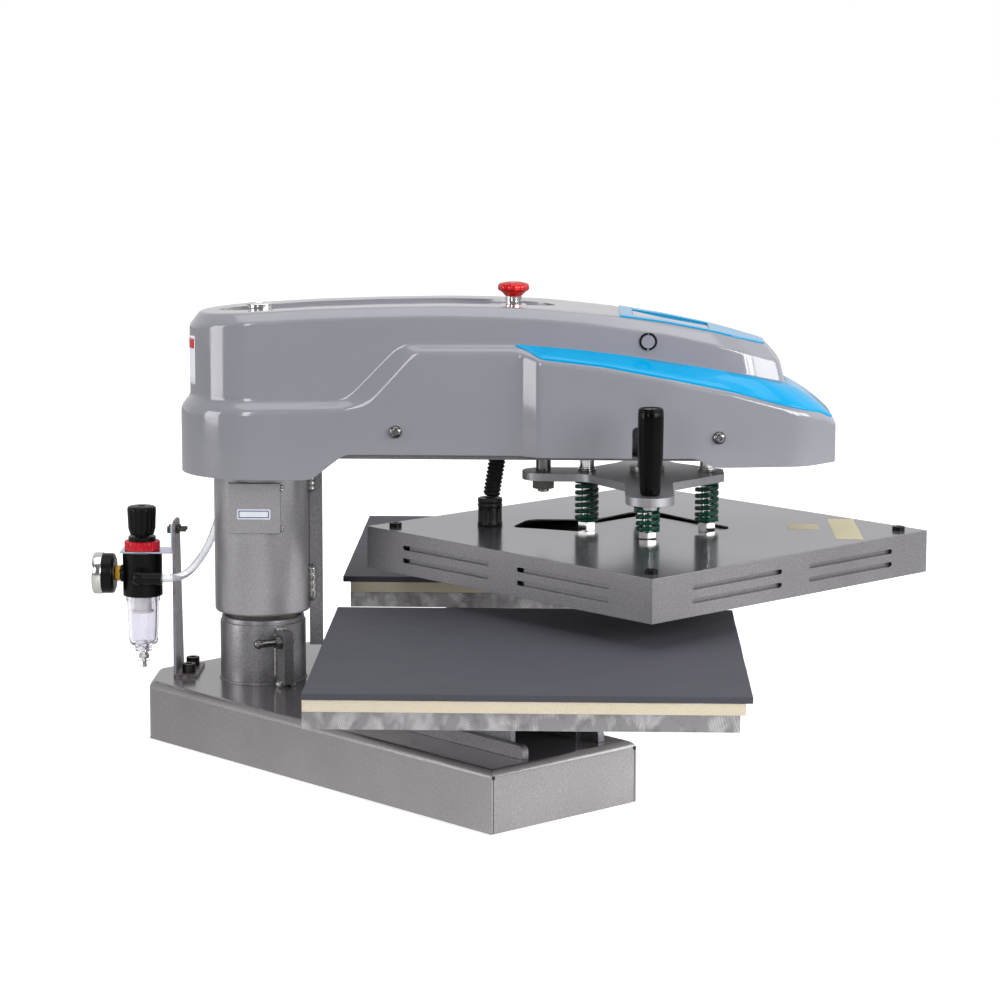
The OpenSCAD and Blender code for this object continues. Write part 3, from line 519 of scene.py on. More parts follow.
def hex_nut(across, z0, z1, bore, at=(0, 0, 0), bm=None):
    """Hexagon nut or head whose corners are turned off by a 30 degree cone."""
    def flat(turn):
        return across / 2 / math.cos((turn + math.pi / 6) % (math.pi / 3) - math.pi / 6)
    steps, cone = 72, across / 2 * 0.97
    place = Matrix.Translation(at)
    reach = [flat(TAU * k / steps) for k in range(steps)]
    drop = [max(0.0, r - cone) * 0.55 for r in reach]
    rings = []
    for side, edge in ((1, z0), (-1, z1)):
        low = [(min(r, cone), edge) for r in reach]
        mid = [(r, edge + side * d) for r, d in zip(reach, drop)]
        rings += [low, mid] if side == 1 else [mid, low]
    inner = [[(bore, z1)] * steps, [(bore, z0)] * steps] if bore else []
    skin = [[place @ Vector((r * math.cos(TAU * k / steps), r * math.sin(TAU * k / steps), z))
             for k, (r, z) in enumerate(ring)] for ring in rings + inner]
    return loft(skin, bm, loop=bool(bore))


def spline(points, step=2.0):
    """Smooth curve through points, sampled about every step millimetres."""
    pts = [np.array(p, float) for p in points]
    pts = [2 * pts[0] - pts[1]] + pts + [2 * pts[-1] - pts[-2]]
    out = []
    for a, b, c, d in zip(pts, pts[1:], pts[2:], pts[3:]):
        count = max(2, int(np.linalg.norm(c - b) / step))
        for k in range(count):
            t = k / count
            out.append(0.5 * (2 * b + (c - a) * t + (2 * a - 5 * b + 4 * c - d) * t ** 2
                              + (3 * b - a - 3 * c + d) * t ** 3))
    return out + [pts[-2]]


def tube(path, radius, sides=20, bm=None):
    """Round tube along a path; radius may be a function of how far along it is, 0 to 1."""
    path = [Vector(p) for p in path]
    side = Vector((0.3, 0.8, 0.5))
    rings = []
    for i, here in enumerate(path):
        ahead = (path[min(i + 1, len(path) - 1)] - path[max(i - 1, 0)]).normalized()
        side = (side - ahead * side.dot(ahead)).normalized()
        up = ahead.cross(side)
        r = radius(i / (len(path) - 1)) if callable(radius) else radius
        rings.append([here + side * r * math.cos(TAU * k / sides) + up * r * math.sin(TAU * k / sides)
                      for k in range(sides)])
    return loft(rings, bm)


LOOKS = make_looks()


# --------------------------------------------------------- cover, trim, panel

# Half outlines of the cover's foot, of the foot of its upper body and of its top edge, from the
# middle of the nose to the middle of the tail: x, y, corner radius, steps. Their corners match.
LOWER = [(590, 0), (590, -38, 14, 8), (556, -76, 45, 10), (515, -82), (464, -89.5), (446, -92.2),
         (420, -96, 100, 3), (370, -96), (320, -96), (288, -96, 12, 8), (270, -82, 12, 8), (200, -82),
         (168, -82), (158, -82), (122, -82), (110, -82), (92, -82), (58, -82), (-82, -82, 81.9, 48),
         (-82, 0)]
UPPER = [(538, 0), (538, -36, 12, 8), (505, -56, 45, 10), (475, -59), (445, -61.7), (425, -63.5),
         (400, -66, 100, 3), (370, -68.2), (340, -70.3), (310, -72.5, 60, 8), (272, -72.5, 8, 8),
         (190, -72.5), (155, -72.5), (145, -72.5), (102, -72.5), (94, -72.5), (84, -72.5), (50, -72.5),
         (-72.5, -72.5, 72.4, 48), (-72.5, 0)]
TOP = [(518, 0), (518, -26, 10, 8), (488, -40, 45, 10), (460, -43.5), (430, -46.8), (412, -48.8),
       (394, -51, 60, 3), (370, -55.5), (345, -60), (318, -63, 60, 8), (272, -63, 8, 8), (190, -63),
       (155, -63), (145, -63), (102, -63), (94, -63), (84, -63), (50, -63), (-62, -62, 61.9, 48), (-62, 0)]
# Heights along the arm of the foot, of the crease and ledge lines, of the chamfer and of the top edge
FOOT_LINE = [(-82, 280), (58, 280), (92, 306.5), (446, 306.5), (464, 296.5), (590, 296.5)]
CREASE_LINE = [(-82, 347), (33, 351), (92, 353), (110, 357), (122, 365), (158, 406), (168, 411.5),
               (264, 412), (290, 404.5), (353, 397.5), (427, 383.5), (484, 371), (532, 357), (577, 346),
               (590, 338)]
LEDGE_LINE = [(-73, 358), (84, 359), (94, 362), (102, 368), (145, 412), (155, 417), (264, 417.5),
              (280, 416), (323, 412.5), (369, 407), (415, 400), (465, 392), (502, 385), (538, 376)]
CHAMFER_LINE = [(-73, 430), (-8, 438), (54, 441.5), (128, 444.5), (190, 445.5), (241, 444.5),
                (290, 442.5), (331, 439), (362, 435), (416, 428), (462, 418), (486, 412.5), (538, 398)]
TOP_LINE = [(-62, 444), (0, 447.5), (55, 451), (120, 453.5), (190, 455), (240, 454.5), (290, 452.5),
            (331, 449), (362, 446), (416, 438), (462, 429), (486, 423), (518, 415)]
NOSE_STEPS = 6
SHELL = 3.0
# Long oval recess in the roof, and the sloping screen window
RECESS = (-42, 303)
RECESS_HALF = 33
RECESS_DEPTH = 3.0
WINDOW = (382, 460)
WINDOW_HALF = 30
PANEL_BACK = 369
SCREEN_X = 421
SCREEN_TILT = math.radians(10.5)
SCREEN = Matrix.Translation((SCREEN_X, 0, 435.4)) @ Matrix.Rotation(SCREEN_TILT, 4, "Y")
NOTCH = [(382, 290), (411, 290), (411, 338, 5, 6), (382, 338, 5, 6)]
SCREWS = [(144, -82, 330, 0), (469, -88.9, 327, 8.4)]
KNOB_X = 260.5
BUTTON = (397.5, -67, 421)


def height(line, x):
    return np.interp(x, [p[0] for p in line], [p[1] for p in line])


def smoothed(values, passes):
    """Values along the half cover, smoothed as if they went on mirrored past its two ends."""
    mirror = np.array([1, -1, 1])
    for _ in range(passes):
        before = np.concatenate([values[1:2] * mirror, values[:-1]])
        after = np.concatenate([values[1:], values[-2:-1] * mirror])
        values = (before + 2 * values + after) / 4
    return values


def cover_columns():
    """Columns of the half cover: an array [column][foot, crease, ledge, chamfer, top][x, y, z], smoothed
    along the arm so that the tables' corners don't show."""
    plans = [np.array(rounded(plan, closed=False)) for plan in (LOWER, UPPER, TOP)]
    rows = []
    for i in range(len(plans[0]) - 1):
        longest = max(np.linalg.norm(p[i + 1] - p[i]) for p in plans)
        count = NOSE_STEPS if i == 0 else max(1, math.ceil(longest / 2.2))
        rows += [[p[i] + (p[i + 1] - p[i]) * k / count for p in plans] for k in range(count)]
    rows.append([p[-1] for p in plans])
    plan = np.array(rows)
    columns = np.zeros((len(plan), 5, 3))
    for level, (outline, line) in enumerate(zip((0, 0, 1, 1, 2), (FOOT_LINE, CREASE_LINE, LEDGE_LINE,
                                                                  CHAMFER_LINE, TOP_LINE))):
        columns[:, level, :2] = plan[:, outline]
        columns[:, level, 2] = height(line, plan[:, outline, 0])
    lean = 0.27 * np.clip((columns[:, 3, 0] - 465) / 65, 0, 1)
    columns[:, 3, :2] += (columns[:, 4, :2] - columns[:, 3, :2]) * lean[:, None]
    return smoothed(columns, 9)


def inward(columns, level):
    """Unit vectors in plan from each column towards the inside of the cover."""
    points = columns[:, level, :2]
    along = np.gradient(points, axis=0)
    along[0] = (0, -1)
    along[-1] = (0, 1)
    normal = np.stack([along[:, 1], -along[:, 0]], axis=1)
    normal /= np.linalg.norm(normal, axis=1)[:, None]
    facing = np.sign(np.sum(normal * (np.array([200.0, 0.0]) - points), axis=1))
    side = np.abs(normal[:, 1]) > np.abs(normal[:, 0])
    facing = np.where(side, np.sign(normal[:, 1]), facing)
    return np.concatenate([normal * facing[:, None], np.zeros((len(points), 1))], axis=1)


def filleted(column, inside, radii=(6, 4, 3, 3)):
    """One column's points from foot to roof, with its four creases rounded."""
    stops = list(column) + [column[-1] + inside * 12]
    out = [stops[0]]
    for k, radius in zip(range(1, 5), radii):
        a, b, c = stops[k - 1], stops[k], stops[k + 1]
        start = b + (a - b) * min(radius / np.linalg.norm(a - b), 0.42)
        end = b + (c - b) * min(radius / np.linalg.norm(c - b), 0.42)
        out += [(1 - t) ** 2 * start + 2 * t * (1 - t) * b + t * t * end for t in np.linspace(0, 1, 5)]
    return out


def roof_row(edge, stops):
    """Points from the middle plane out to the edge point, at the given distances."""
    return [np.array([edge[0], -min(s, -edge[1]), edge[2]]) for s in stops] + [edge]


def even_stops(edge):
    return [-edge[1] * k / NOSE_STEPS for k in range(NOSE_STEPS)]


def recess_row(edge):
    """Roof points across the oval recess, whose wall drops between the third and fifth of them."""
    u = (2 * edge[0] - sum(RECESS)) / (RECESS[1] - RECESS[0])
    half = RECESS_HALF * max(0.0, 1 - abs(u) ** 3) ** 0.5
    wide = max(half, 0.4)
    row = roof_row(edge, [0, wide * 0.5, wide * 0.97, wide, wide + 0.5, (wide + 1 - edge[1]) / 2])
    if half > 1:
        for point, share in zip(row, (1, 1, 1, 0.9, 0.08)):
            point[2] -= RECESS_DEPTH * share
    return row


def half_grid(bm, rows, side):
    """Quads between rows of points, on the front (side 1) or mirrored to the rear (side -1)."""
    made = [[bm.verts.new((p[0], p[1] * side, p[2])) for p in row] for row in rows]
    for a, b in zip(made, made[1:]):
        for k in range(len(a) - 1):
            bm.faces.new((a[k], a[k + 1], b[k + 1], b[k]))


def clean(bm):
    bmesh.ops.remove_doubles(bm, verts=bm.verts, dist=0.02)
    bmesh.ops.dissolve_degenerate(bm, dist=0.01, edges=bm.edges)


def cut(piece, bm):
    """Cuts a bmesh of closed solids, in millimetres, out of a piece."""
    bmesh.ops.recalc_face_normals(bm, faces=bm.faces)
    bmesh.ops.transform(bm, matrix=Matrix.Scale(MM, 4), verts=bm.verts)
    mesh = bpy.data.meshes.new(piece.name + "_cutter")
    bm.to_mesh(mesh)
    bm.free()
    cutter = bpy.data.objects.new(mesh.name, mesh)
    bpy.context.scene.collection.objects.link(cutter)
    tool = piece.modifiers.new("cut", "BOOLEAN")
    tool.object = cutter
    tool.solver = "EXACT"
    apply_modifiers(piece)
    bpy.data.objects.remove(cutter)


def apply_modifiers(piece):
    """Turns a piece's modifiers into its own mesh."""
    graph = bpy.context.evaluated_depsgraph_get()
    mesh = bpy.data.meshes.new_from_object(piece.evaluated_get(graph), depsgraph=graph)
    piece.modifiers.clear()
    piece.data = mesh


def solidify(piece, thickness):
    """Gives an open skin its thickness, inwards."""
    made = piece.modifiers.new("shell", "SOLIDIFY")
    made.thickness = thickness * MM
    made.offset = -1
    made.use_even_offset = True


def on_screws():
    """Places of the four cover screws, with +Z out of the cover's wall."""
    for x, y, z, turn in SCREWS:
        for side in (1, -1):
            out = Vector((math.sin(math.radians(turn)), -side * math.cos(math.radians(turn)), 0))
            yield Vector((x, y * side, z)), out


def make_cover(columns):
    inside = inward(columns, 4)
    skin = [filleted(c, n) for c, n in zip(columns, inside)]
    edge = [column[-1] for column in skin]
    rows = [[edge[k] for k in range(NOSE_STEPS + 1)]] + [recess_row(p) for p in edge[NOSE_STEPS + 1:]]
    bm = bmesh.new()
    for side in (1, -1):
        half_grid(bm, skin, side)
        half_grid(bm, rows, side)
    clean(bm)
    holes = bmesh.new()
    bar((-39.9, -30.5, -15), (39.9, 30.5, 15), holes, SCREEN)
    for side in (1, -1):
        place = Matrix.Translation((0, -80 * side, 0)) @ Matrix.Rotation(math.pi / 2, 4, "X")
        reach = (0, 30) if side == 1 else (-30, 0)
        prism(rounded(NOTCH), *reach, holes, place)
        turned([
            (0, -12), (9, -12), (9, 8), (0, 8)], (BUTTON[0], BUTTON[1] * side, BUTTON[2]), (0, -side, 0),
            64, bm=holes)
    for at, out in on_screws():
        turned([(0, -6), (3.3, -6), (3.3, 6), (0, 6)], at, out, 32, bm=holes)
    for x in (0, KNOB_X):
        turned([(0, 430), (13, 430), (13, 470), (0, 470)], (x, 0, 0), bm=holes)

    def finish(piece):
        solidify(piece, SHELL)
        cut(piece, holes)
        harden(piece, 38)
    put("arm_cover", bm, "arm", "cover", extra=finish)


def harden(piece, angle):
    """Shades a piece smooth, with edges sharper than angle degrees kept hard."""
    bm = bmesh.new()
    bm.from_mesh(piece.data)
    for face in bm.faces:
        face.smooth = True
    for edge in bm.edges:
        edge.smooth = len(edge.link_faces) != 2 or edge.calc_face_angle() < math.radians(angle)
    bm.to_mesh(piece.data)
    bm.free()


def around_nose(count):
    """Column numbers of a band from its rear tip round the nose to its front tip, with the side of each."""
    return [(k, -1) for k in range(count - 1, 0, -1)] + [(k, 1) for k in range(count)]


def make_trim(columns):
    """Glossy band on the ledge, from a round tip at the cover's swell right round the nose."""
    low, high = columns[:, 1], columns[:, 2]
    tip = 263.5
    count = int(np.argmax(high[:, 0] < tip))
    along = np.gradient(low + high, axis=0)
    along[0] = (0, -1, 0)
    out = np.cross(high - low, along)
    out *= np.sign(out[:, 2])[:, None]
    out = smoothed(out / np.linalg.norm(out, axis=1)[:, None], 16)
    rings = []
    for k, side in around_nose(count):
        run = max(0.0, high[k][0] - tip)
        swing = max(0.0, 1 - run / 52)
        blunt = math.sqrt(1 - (1 - min(1.0, run / 5 + 0.01)) ** 2)
        first = 0.86 - (0.78 - 0.66 * swing ** 1.8) * blunt
        last = 0.86 + 0.125 * blunt
        length = np.linalg.norm(high[k] - low[k])
        proud = 1.7 * blunt
        round_off = min(2.6 / length, (last - first) / 3)
        section = [(first, -0.9), (first, 0.1), (first + round_off * 0.35, 0.75), (first + round_off, 1.0)]
        section += [(first + round_off + (last - first - round_off) * t, 1.0) for t in (0.25, 0.5, 0.75)]
        section += [(last - 0.01, 0.95), (last, 0.6), (last, -0.9)]
        nose = min(1.0, max(0.0, (low[k][0] - 470) / 110))
        nose = nose * nose * (3 - 2 * nose)
        ring = []
        for u, lift in section:
            swell = 2.6 * nose * math.sin(math.pi * min(1, max(0, (u - 0.05) / 0.95)))
            rise = proud * lift + (swell if lift > 0 else 0)
            p = low[k] + (high[k] - low[k]) * u + out[k] * rise
            ring.append((p[0], p[1] * side, p[2]))
        rings.append(ring)
    put("side_trim", loft(rings), "arm", "cyan", sharp=60)


def make_panel(columns):
    """Coloured plate over the front of the roof, with walls down to the sloping screen."""
    edge = columns[:, 4].copy() + inward(columns, 4) * 1.0
    edge[:, 2] += 1.4
    last = int(np.argmax(edge[:, 0] < PANEL_BACK))
    edge = edge[:last + 1]
    for x in (*WINDOW, PANEL_BACK):
        edge[NOSE_STEPS + 1 + int(np.argmin(abs(edge[NOSE_STEPS + 1:, 0] - x)))][0] = x

    def stops(p):
        if WINDOW[0] - 4 < p[0] < WINDOW[1] + 4:
            rest = -p[1] - WINDOW_HALF
            return [0, 10, 20, WINDOW_HALF, WINDOW_HALF + rest / 3, WINDOW_HALF + rest * 2 / 3]
        return even_stops(p)
    rows = [[edge[k] for k in range(NOSE_STEPS + 1)]]
    rows += [roof_row(p, stops(p)) for p in edge[NOSE_STEPS + 1:]]
    bm = bmesh.new()
    for side in (1, -1):
        half_grid(bm, rows, side)
    clean(bm)

    slack = 0.2

    def in_window(p):
        return WINDOW[0] - slack < p.x < WINDOW[1] + slack and abs(p.y) < WINDOW_HALF + slack
    hole = [f for f in bm.faces if all(in_window(v.co) for v in f.verts)]
    bmesh.ops.delete(bm, geom=hole, context="FACES")
    rims = [e for e in bm.edges if len(e.link_faces) == 1]
    walls = [e for e in rims if all(in_window(v.co) for v in e.verts)]
    skirt = [e for e in rims if e not in walls]
    for edges, drop in ((skirt, 1.5), (walls, 0)):
        made = bmesh.ops.extrude_edge_only(bm, edges=edges)["geom"]
        for vert in (g for g in made if isinstance(g, bmesh.types.BMVert)):
            floor = (SCREEN @ Vector(((vert.co.x - SCREEN_X) / math.cos(SCREEN_TILT), 0, 1.2))).z
            vert.co.z = vert.co.z - drop if drop else floor
    for face in bm.faces:
        face.normal_update()

    def finish(piece):
        bevel = piece.modifiers.new("ease", "BEVEL")
        bevel.width = 0.5 * MM
        bevel.segments = 2
        bevel.angle_limit = math.radians(35)
        solidify(piece, 1.1)
        apply_modifiers(piece)
        harden(piece, 50)
    put("control_panel", bm, "arm", "cyan", extra=finish)


def make_tail_label(columns):
    """Plain sticker round the tail, with a red band and no wording."""
    low, high = columns[:, 2], columns[:, 3]
    out = -inward(columns, 2)
    first = int(np.argmax(low[:, 0] < -62.5))
    for name, look, reach, proud in (("tail_label", "paper", (0.18, 0.86), 0.25),
                                     ("tail_band", "red", (0.68, 0.82), 0.4)):
        bm = bmesh.new()
        rows = [[low[k] + (high[k] - low[k]) * u + out[k] * proud for u in np.linspace(*reach, 6)]
                for k in range(first + (2 if look == "red" else 0), len(low))]
        for side in (1, -1):
            half_grid(bm, rows, side)
        clean(bm)
        put(name, bm, "arm", look, extra=lambda made: solidify(made, 0.15))


def make_arm_details():
    for side, name in ((1, "front"), (-1, "rear")):
        at, out = (BUTTON[0], BUTTON[1] * side, BUTTON[2]), (0, -side, 0)
        bm = turned([(0, -8), (6.9, -8), (6.9, 0.4), (6.6, 0.9), (0, 1.1)], at, out)
        put(f"start_button_{name}", bm, f"start_button_{name}", "cover", sharp=40)
    bm = bmesh.new()
    for side in (1, -1):
        at, out = (BUTTON[0], BUTTON[1] * side, BUTTON[2]), (0, -side, 0)
        turned([(7.2, -9), (8.7, -9), (8.7, 0.9), (8.4, 1.2), (7.5, 1.2), (7.2, 0.9)], at, out, bm=bm)
    put("button_collars", bm, "arm", "black", sharp=40)
    bm = bmesh.new()
    for side in (1, -1):
        for lift, half in ((-7.95, 0.9), (7.95, 0.5)):
            y = sorted((BUTTON[1] * side - side * 1.45, BUTTON[1] * side + side * 2))
            x, z = BUTTON[0], BUTTON[2] + lift
            bar((x - half, y[0], z - 1.0), (x + half, y[1], z + 1.0), bm)
    put("button_bridges", bm, "arm", "cover", ease=0.15)
    lathe("knob_collar", "arm", "chrome", [
        (8.7, 438), (13.6, 438), (13.6, 451.4), (13, 452), (9.2, 452), (8.7, 451.5)], (KNOB_X, 0, 0))
    bm = bmesh.new()
    for at, out in on_screws():
        turned([
            (0, -11), (3, -11), (3, 0.3), (6.2, 0.3), (6.5, 0.8), (6.2, 2.2), (5.2, 3.7), (3.9, 4.6),
            (2.2, 5), (2.0, 4.9), (1.9, 3.2), (0, 3.2)], at, out, 48, bm=bm)
    put("cover_screws", bm, "arm", "guide_steel", sharp=50)
    lathe("column_cap", "arm", "chrome", [
        (5.5, 440), (12.5, 440), (12.5, 450), (13.3, 450), (13.6, 450.4), (13.6, 451.2), (13, 451.8),
        (6.3, 452), (5.5, 451.2)])

    def lobes(turn, radius, z):
        share = min(1, max(0, (radius - 11) / 4))
        return radius - 1.1 * share * abs(math.sin(4 * turn)) ** 3
    lathe("stop_knob", "stop_knob", "anodised", [
        (0, 440), (8, 440), (8, 460.5), (9.2, 461.2), (10.6, 463), (13, 465), (15.4, 466.3), (16, 467.3),
        (16, 470.6), (15.4, 472.2), (13.5, 473.6), (9, 474.4), (8.6, 474), (0, 474.2)], (KNOB_X, 0, 0),
        swell=lobes, sharp=50)
    lathe("stop_neck", "stop_knob", "chrome", [
        (8.02, 452.2), (8.4, 452.4), (8.4, 460.2), (8.02, 460.4)], (KNOB_X, 0, 0))


# ------------------------------------------------------------------- column

TUBE_R = 44.5
SLEEVE_R = 49.5
# The plain label lies on the front face of the welded patch
PATCH_LABEL = Matrix.Translation((-3, -52, 240)) @ Matrix.Rotation(math.pi / 2, 4, "X")


def bead(path, radius, bm, seed):
    """Weld bead: a lumpy run of overlapping pools along a path."""
    def swell(t):
        end = min(1, 6 * t + 0.3, 6 * (1 - t) + 0.3)
        pools = 0.22 * abs(math.sin(t * len(path) * 0.55 + seed))
        return radius * end * (1 + pools + 0.12 * noise.noise((seed, t * 9, 0)))
    return tube(path, swell, 14, bm)


def make_column():
    lathe("column_sleeve", "arm", "sleeve_paint", [
        (44, 132), (46.6, 132), (48.4, 132.7), (49.3, 134), (SLEEVE_R, 135.4), (SLEEVE_R, 385),
        (44, 385)], steps=160)
    lathe("post_base_tube", "base", "frame_paint", [
        (35.05, 60), (TUBE_R, 60), (TUBE_R, 120.8), (44.3, 121.5), (43.2, 122.3), (43, 122.9),
        (43, 125.4), (42.4, 126.9), (41.2, 127.6), (35.05, 127.6)], steps=160)
    bm = bmesh.new()
    reach = TUBE_R + 0.1
    around = [(reach * math.cos(TAU * k / 90), reach * math.sin(TAU * k / 90), 60.4) for k in range(91)]
    tube(around, lambda t: 1.3 + 0.25 * noise.noise((t * 60, 3, 0)), 10, bm)
    put("column_weld", bm, "base", "frame_paint")

    lug = bmesh.new()
    for side in (1, -1):
        spin = Matrix.Rotation(-math.radians(60) * side, 4, "Z")
        for edge in (6.2, -6.2):
            bead([spin @ Vector((45, edge, z)) for z in np.linspace(66, 114, 30)], 1.5, lug, edge)
        bead([spin @ Vector((46 + 2 * k / 8, k - 6, 118.5)) for k in range(13)], 2.6, lug, 2)
        bead([spin @ Vector((52 + k * 0.8, -6.5, 62.5)) for k in range(14)], 3.6, lug, 5)
        bead([spin @ Vector((52 + k * 0.8, 6.5, 62.0)) for k in range(14)], 2.6, lug, 7)
    put("lug_welds", lug, "base", "weld")

    bm = bmesh.new()
    for edge in (5.6, -5.6):
        for z0, z1, size in ((256, 279, 3.4), (142, 181, 3.8)):
            bead([(52, edge, z) for z in np.linspace(z0, z1, 26)], size, bm, edge + z0)
    put("stop_bar_welds", bm, "arm", "weld")
    bm = bmesh.new()
    for x, z in ((24, 266), (24, 224), (-29, 268), (-29, 223)):
        depth = -math.sqrt(SLEEVE_R ** 2 - x ** 2)
        bead([(x + 0.8, depth - 0.6, z + dz) for dz in np.linspace(-3.5, 3.5, 9)], 1.9, bm, x + z)
    put("patch_welds", bm, "arm", "weld")

    bm = prism(round_box(17, 5.2, 1.2), 0, 0.2, place=PATCH_LABEL)
    put("patch_label", bm, "arm", "paper", sharp=40)
    outer = round_box(15.6, 3.9, 0.8)
    inner = round_box(14.6, 2.9, 0.4)
    rings = [[PATCH_LABEL @ Vector((x, y, z)) for x, y in line]
             for line, z in ((outer, 0.15), (outer, 0.3), (inner, 0.3), (inner, 0.15))]
    put("patch_label_frame", loft(rings, loop=True), "arm", "ink", sharp=40)


# ------------------------------------------------------- press head, platen

PLATEN_X = 399
PLATEN_HALF = 205
PLATEN_ROOF = 220
POST_REACH = 62
POSTS = [(PLATEN_X + POST_REACH, 0), (PLATEN_X, POST_REACH), (PLATEN_X - POST_REACH, 0),
         (PLATEN_X, -POST_REACH)]
GUIDE = (292, 0, 0)
SPRING_FOOT, SPRING_HEAD = 227.5, 271.5
HANDLE = (PLATEN_X, -162, 0)


def spring_coils():
    """Four die springs: flat wire with closed ends, ground square."""
    bm = bmesh.new()
    turns, wire, outer, inner = 7.5, 4.2, 12.4, 7.4
    rise = (SPRING_HEAD - SPRING_FOOT - 2 * wire) / (turns - 2)
    section = rounded([(inner, -wire / 2, 0.9, 3), (outer, -wire / 2, 0.9, 3), (outer, wire / 2, 0.9, 3),
                       (inner, wire / 2, 0.9, 3)])
    for n, (x, y) in enumerate(POSTS):
        rings = []
        for k in range(int(turns * 40) + 1):
            t = k / 40
            ends = wire * (min(t, 1) + max(0, t - turns + 1))
            z = SPRING_FOOT + ends + rise * min(max(t - 1, 0), turns - 2)
            turn = TAU * t + n * 1.9
            rings.append([(x + r * math.cos(turn), y + r * math.sin(turn),
                           min(max(z + dz, SPRING_FOOT + 0.02), SPRING_HEAD - 0.02)) for r, dz in section])
        loft(rings, bm)
    piece = put("die_springs", bm, "heat_platen", "enamel", sharp=50)
    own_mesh(piece)


def threaded(radius, z0, z1, pitch, depth, bm, at):
    """Stud whose thread shows as fine rings."""
    count = int((z1 - z0) / pitch)
    profile = [(0, z0)]
    for k in range(count):
        z = z0 + k * pitch
        profile += [(radius - depth, z), (radius, z + pitch * 0.5)]
    return turned(profile + [(radius - depth, z0 + count * pitch), (0, z0 + count * pitch)], at, steps=40,
                  bm=bm)


def make_press_head():
    spring_coils()
    bm = bmesh.new()
    for x, y in POSTS:
        at = (x, y, 0)
        threaded(6, 208.5, 227.5, 1.25, 0.5, bm, at)
        turned([(0, 227.4), (5.95, 227.4), (5.95, 280.3), (0, 280.3)], at, steps=48, bm=bm)
        hex_nut(17, 217.5, 227.5, 0, at, bm)
        turned([
            (0, 280.3), (9.2, 280.3), (9.5, 280.6), (9.5, 281.8), (9.2, 282.1), (8.2, 282.3), (8.2, 284),
            (7.5, 284.3), (7.5, 305.4), (7, 306), (0, 306)], at, steps=64, bm=bm)
    put("spring_posts", bm, "heat_platen", "chrome", sharp=35)
    lathe("guide_rod", "spider", "guide_steel", [
        (0, 258), (5.2, 258), (6, 258.8), (6, 280), (7.75, 280), (7.75, 351), (6.9, 352), (0, 352)],
        GUIDE, sharp=35)
    put("guide_nut", hex_nut(22, 261.5, 271.4, 6, GUIDE), "spider", "dark_steel", sharp=35)
    bm = turned([
        (0, 286), (0, 280), (18, 280), (18, 286), (10, 286), (10, 368), (36, 368), (36, 382), (0, 382)],
        (PLATEN_X, 0, 0), closed=False)
    put("piston_rod", bm, "spider", "steel", ease=0.4)
    bm = turned([
        (0, 265.5), (4, 265.5), (4, 360), (8, 360), (8, 364.4), (7.4, 365), (3.2, 365), (3.2, 362),
        (0, 362)], HANDLE, steps=64)
    hex_nut(13, 265.5, 271.4, 0, HANDLE, bm)
    put("handle_bolt", bm, "spider", "steel", sharp=35)
    lathe("handle_grip", "handle", "grip", [
        (4.05, 280.3), (9, 280.3), (9.5, 280.8), (9.9, 282), (10.6, 288), (11.6, 300), (12.3, 318),
        (12.6, 338), (12.7, 356), (12.6, 361.4), (12.3, 362.2), (12.3, 362.8), (12.5, 363.2),
        (12.2, 364.9), (11.2, 366), (9.6, 366), (8.4, 365.2), (8.3, 359.7), (4.05, 359.7)], HANDLE,
        steps=128, sharp=45)


def make_conduit():
    foot = Vector((236.5, 12, 220))
    lean = math.radians(9)
    along = (math.sin(lean), 0, math.cos(lean))
    pitch = 4.2
    profile = [(6.5, 2)]
    for k in range(21):
        z = 3 + k * pitch
        profile += [
            (7.7, z), (7.8, z + 0.9), (8.7, z + 1.3), (9.0, z + 1.9), (9.0, z + 2.6), (8.7, z + 3.2),
            (7.8, z + 3.6)]
    profile += [(7.7, 92), (6.5, 92)]
    put("conduit", turned(profile, foot + Vector((1, 0, 29)), along), "heat_platen", "satin_black",
        sharp=60)

    def flutes(turn, radius, z):
        if radius < 8:
            return radius
        if 4 < z < 20:
            return radius - 1.1 * max(0.0, math.cos(8 * turn)) ** 0.5
        return radius
    lathe("conduit_connector", "heat_platen", "satin_black", [
        (6, 0), (12.4, 0), (13, 0.6), (13, 3.4), (12.6, 4.2), (12.5, 8), (12.5, 14), (12.5, 19),
        (12.6, 20.2), (12.9, 20.8), (13, 22.4), (12.4, 23.2), (12.4, 24.2), (12.9, 24.8), (12.9, 27.8),
        (12.2, 29), (7.4, 29), (6, 28.4)], foot, swell=flutes, sharp=50)


def platen_ease(mid):
    """Folds of the platen cover are rounder than the edges of its slots and of its opening."""
    u = abs((mid.x - PLATEN_X) * math.cos(math.pi / 4) + mid.y * math.sin(math.pi / 4))
    v = abs(-(mid.x - PLATEN_X) * math.sin(math.pi / 4) + mid.y * math.cos(math.pi / 4))
    side = PLATEN_HALF - 0.1
    corner = u > side and v > side
    roof_edge = max(u, v) > side and mid.z > PLATEN_ROOF - 0.1
    return 1.6 if corner or roof_edge else 0.3


def make_platen():
    put("platen_cover", from_node("platen_cover"), "heat_platen", "platen_paint", ease=platen_ease, steps=3)
    bm = bmesh.new()
    for x, y, half_x, half_y in ((604, 3, 14, 62), (562, 15, 16, 16)):
        prism(round_box(half_x, half_y, 2, x, y), 0, 0.25, bm, Matrix.Translation((0, 0, PLATEN_ROOF)))
    put("platen_stickers", bm, "heat_platen", "yellow", sharp=40)


# -------------------------------------------------------------- lower platens

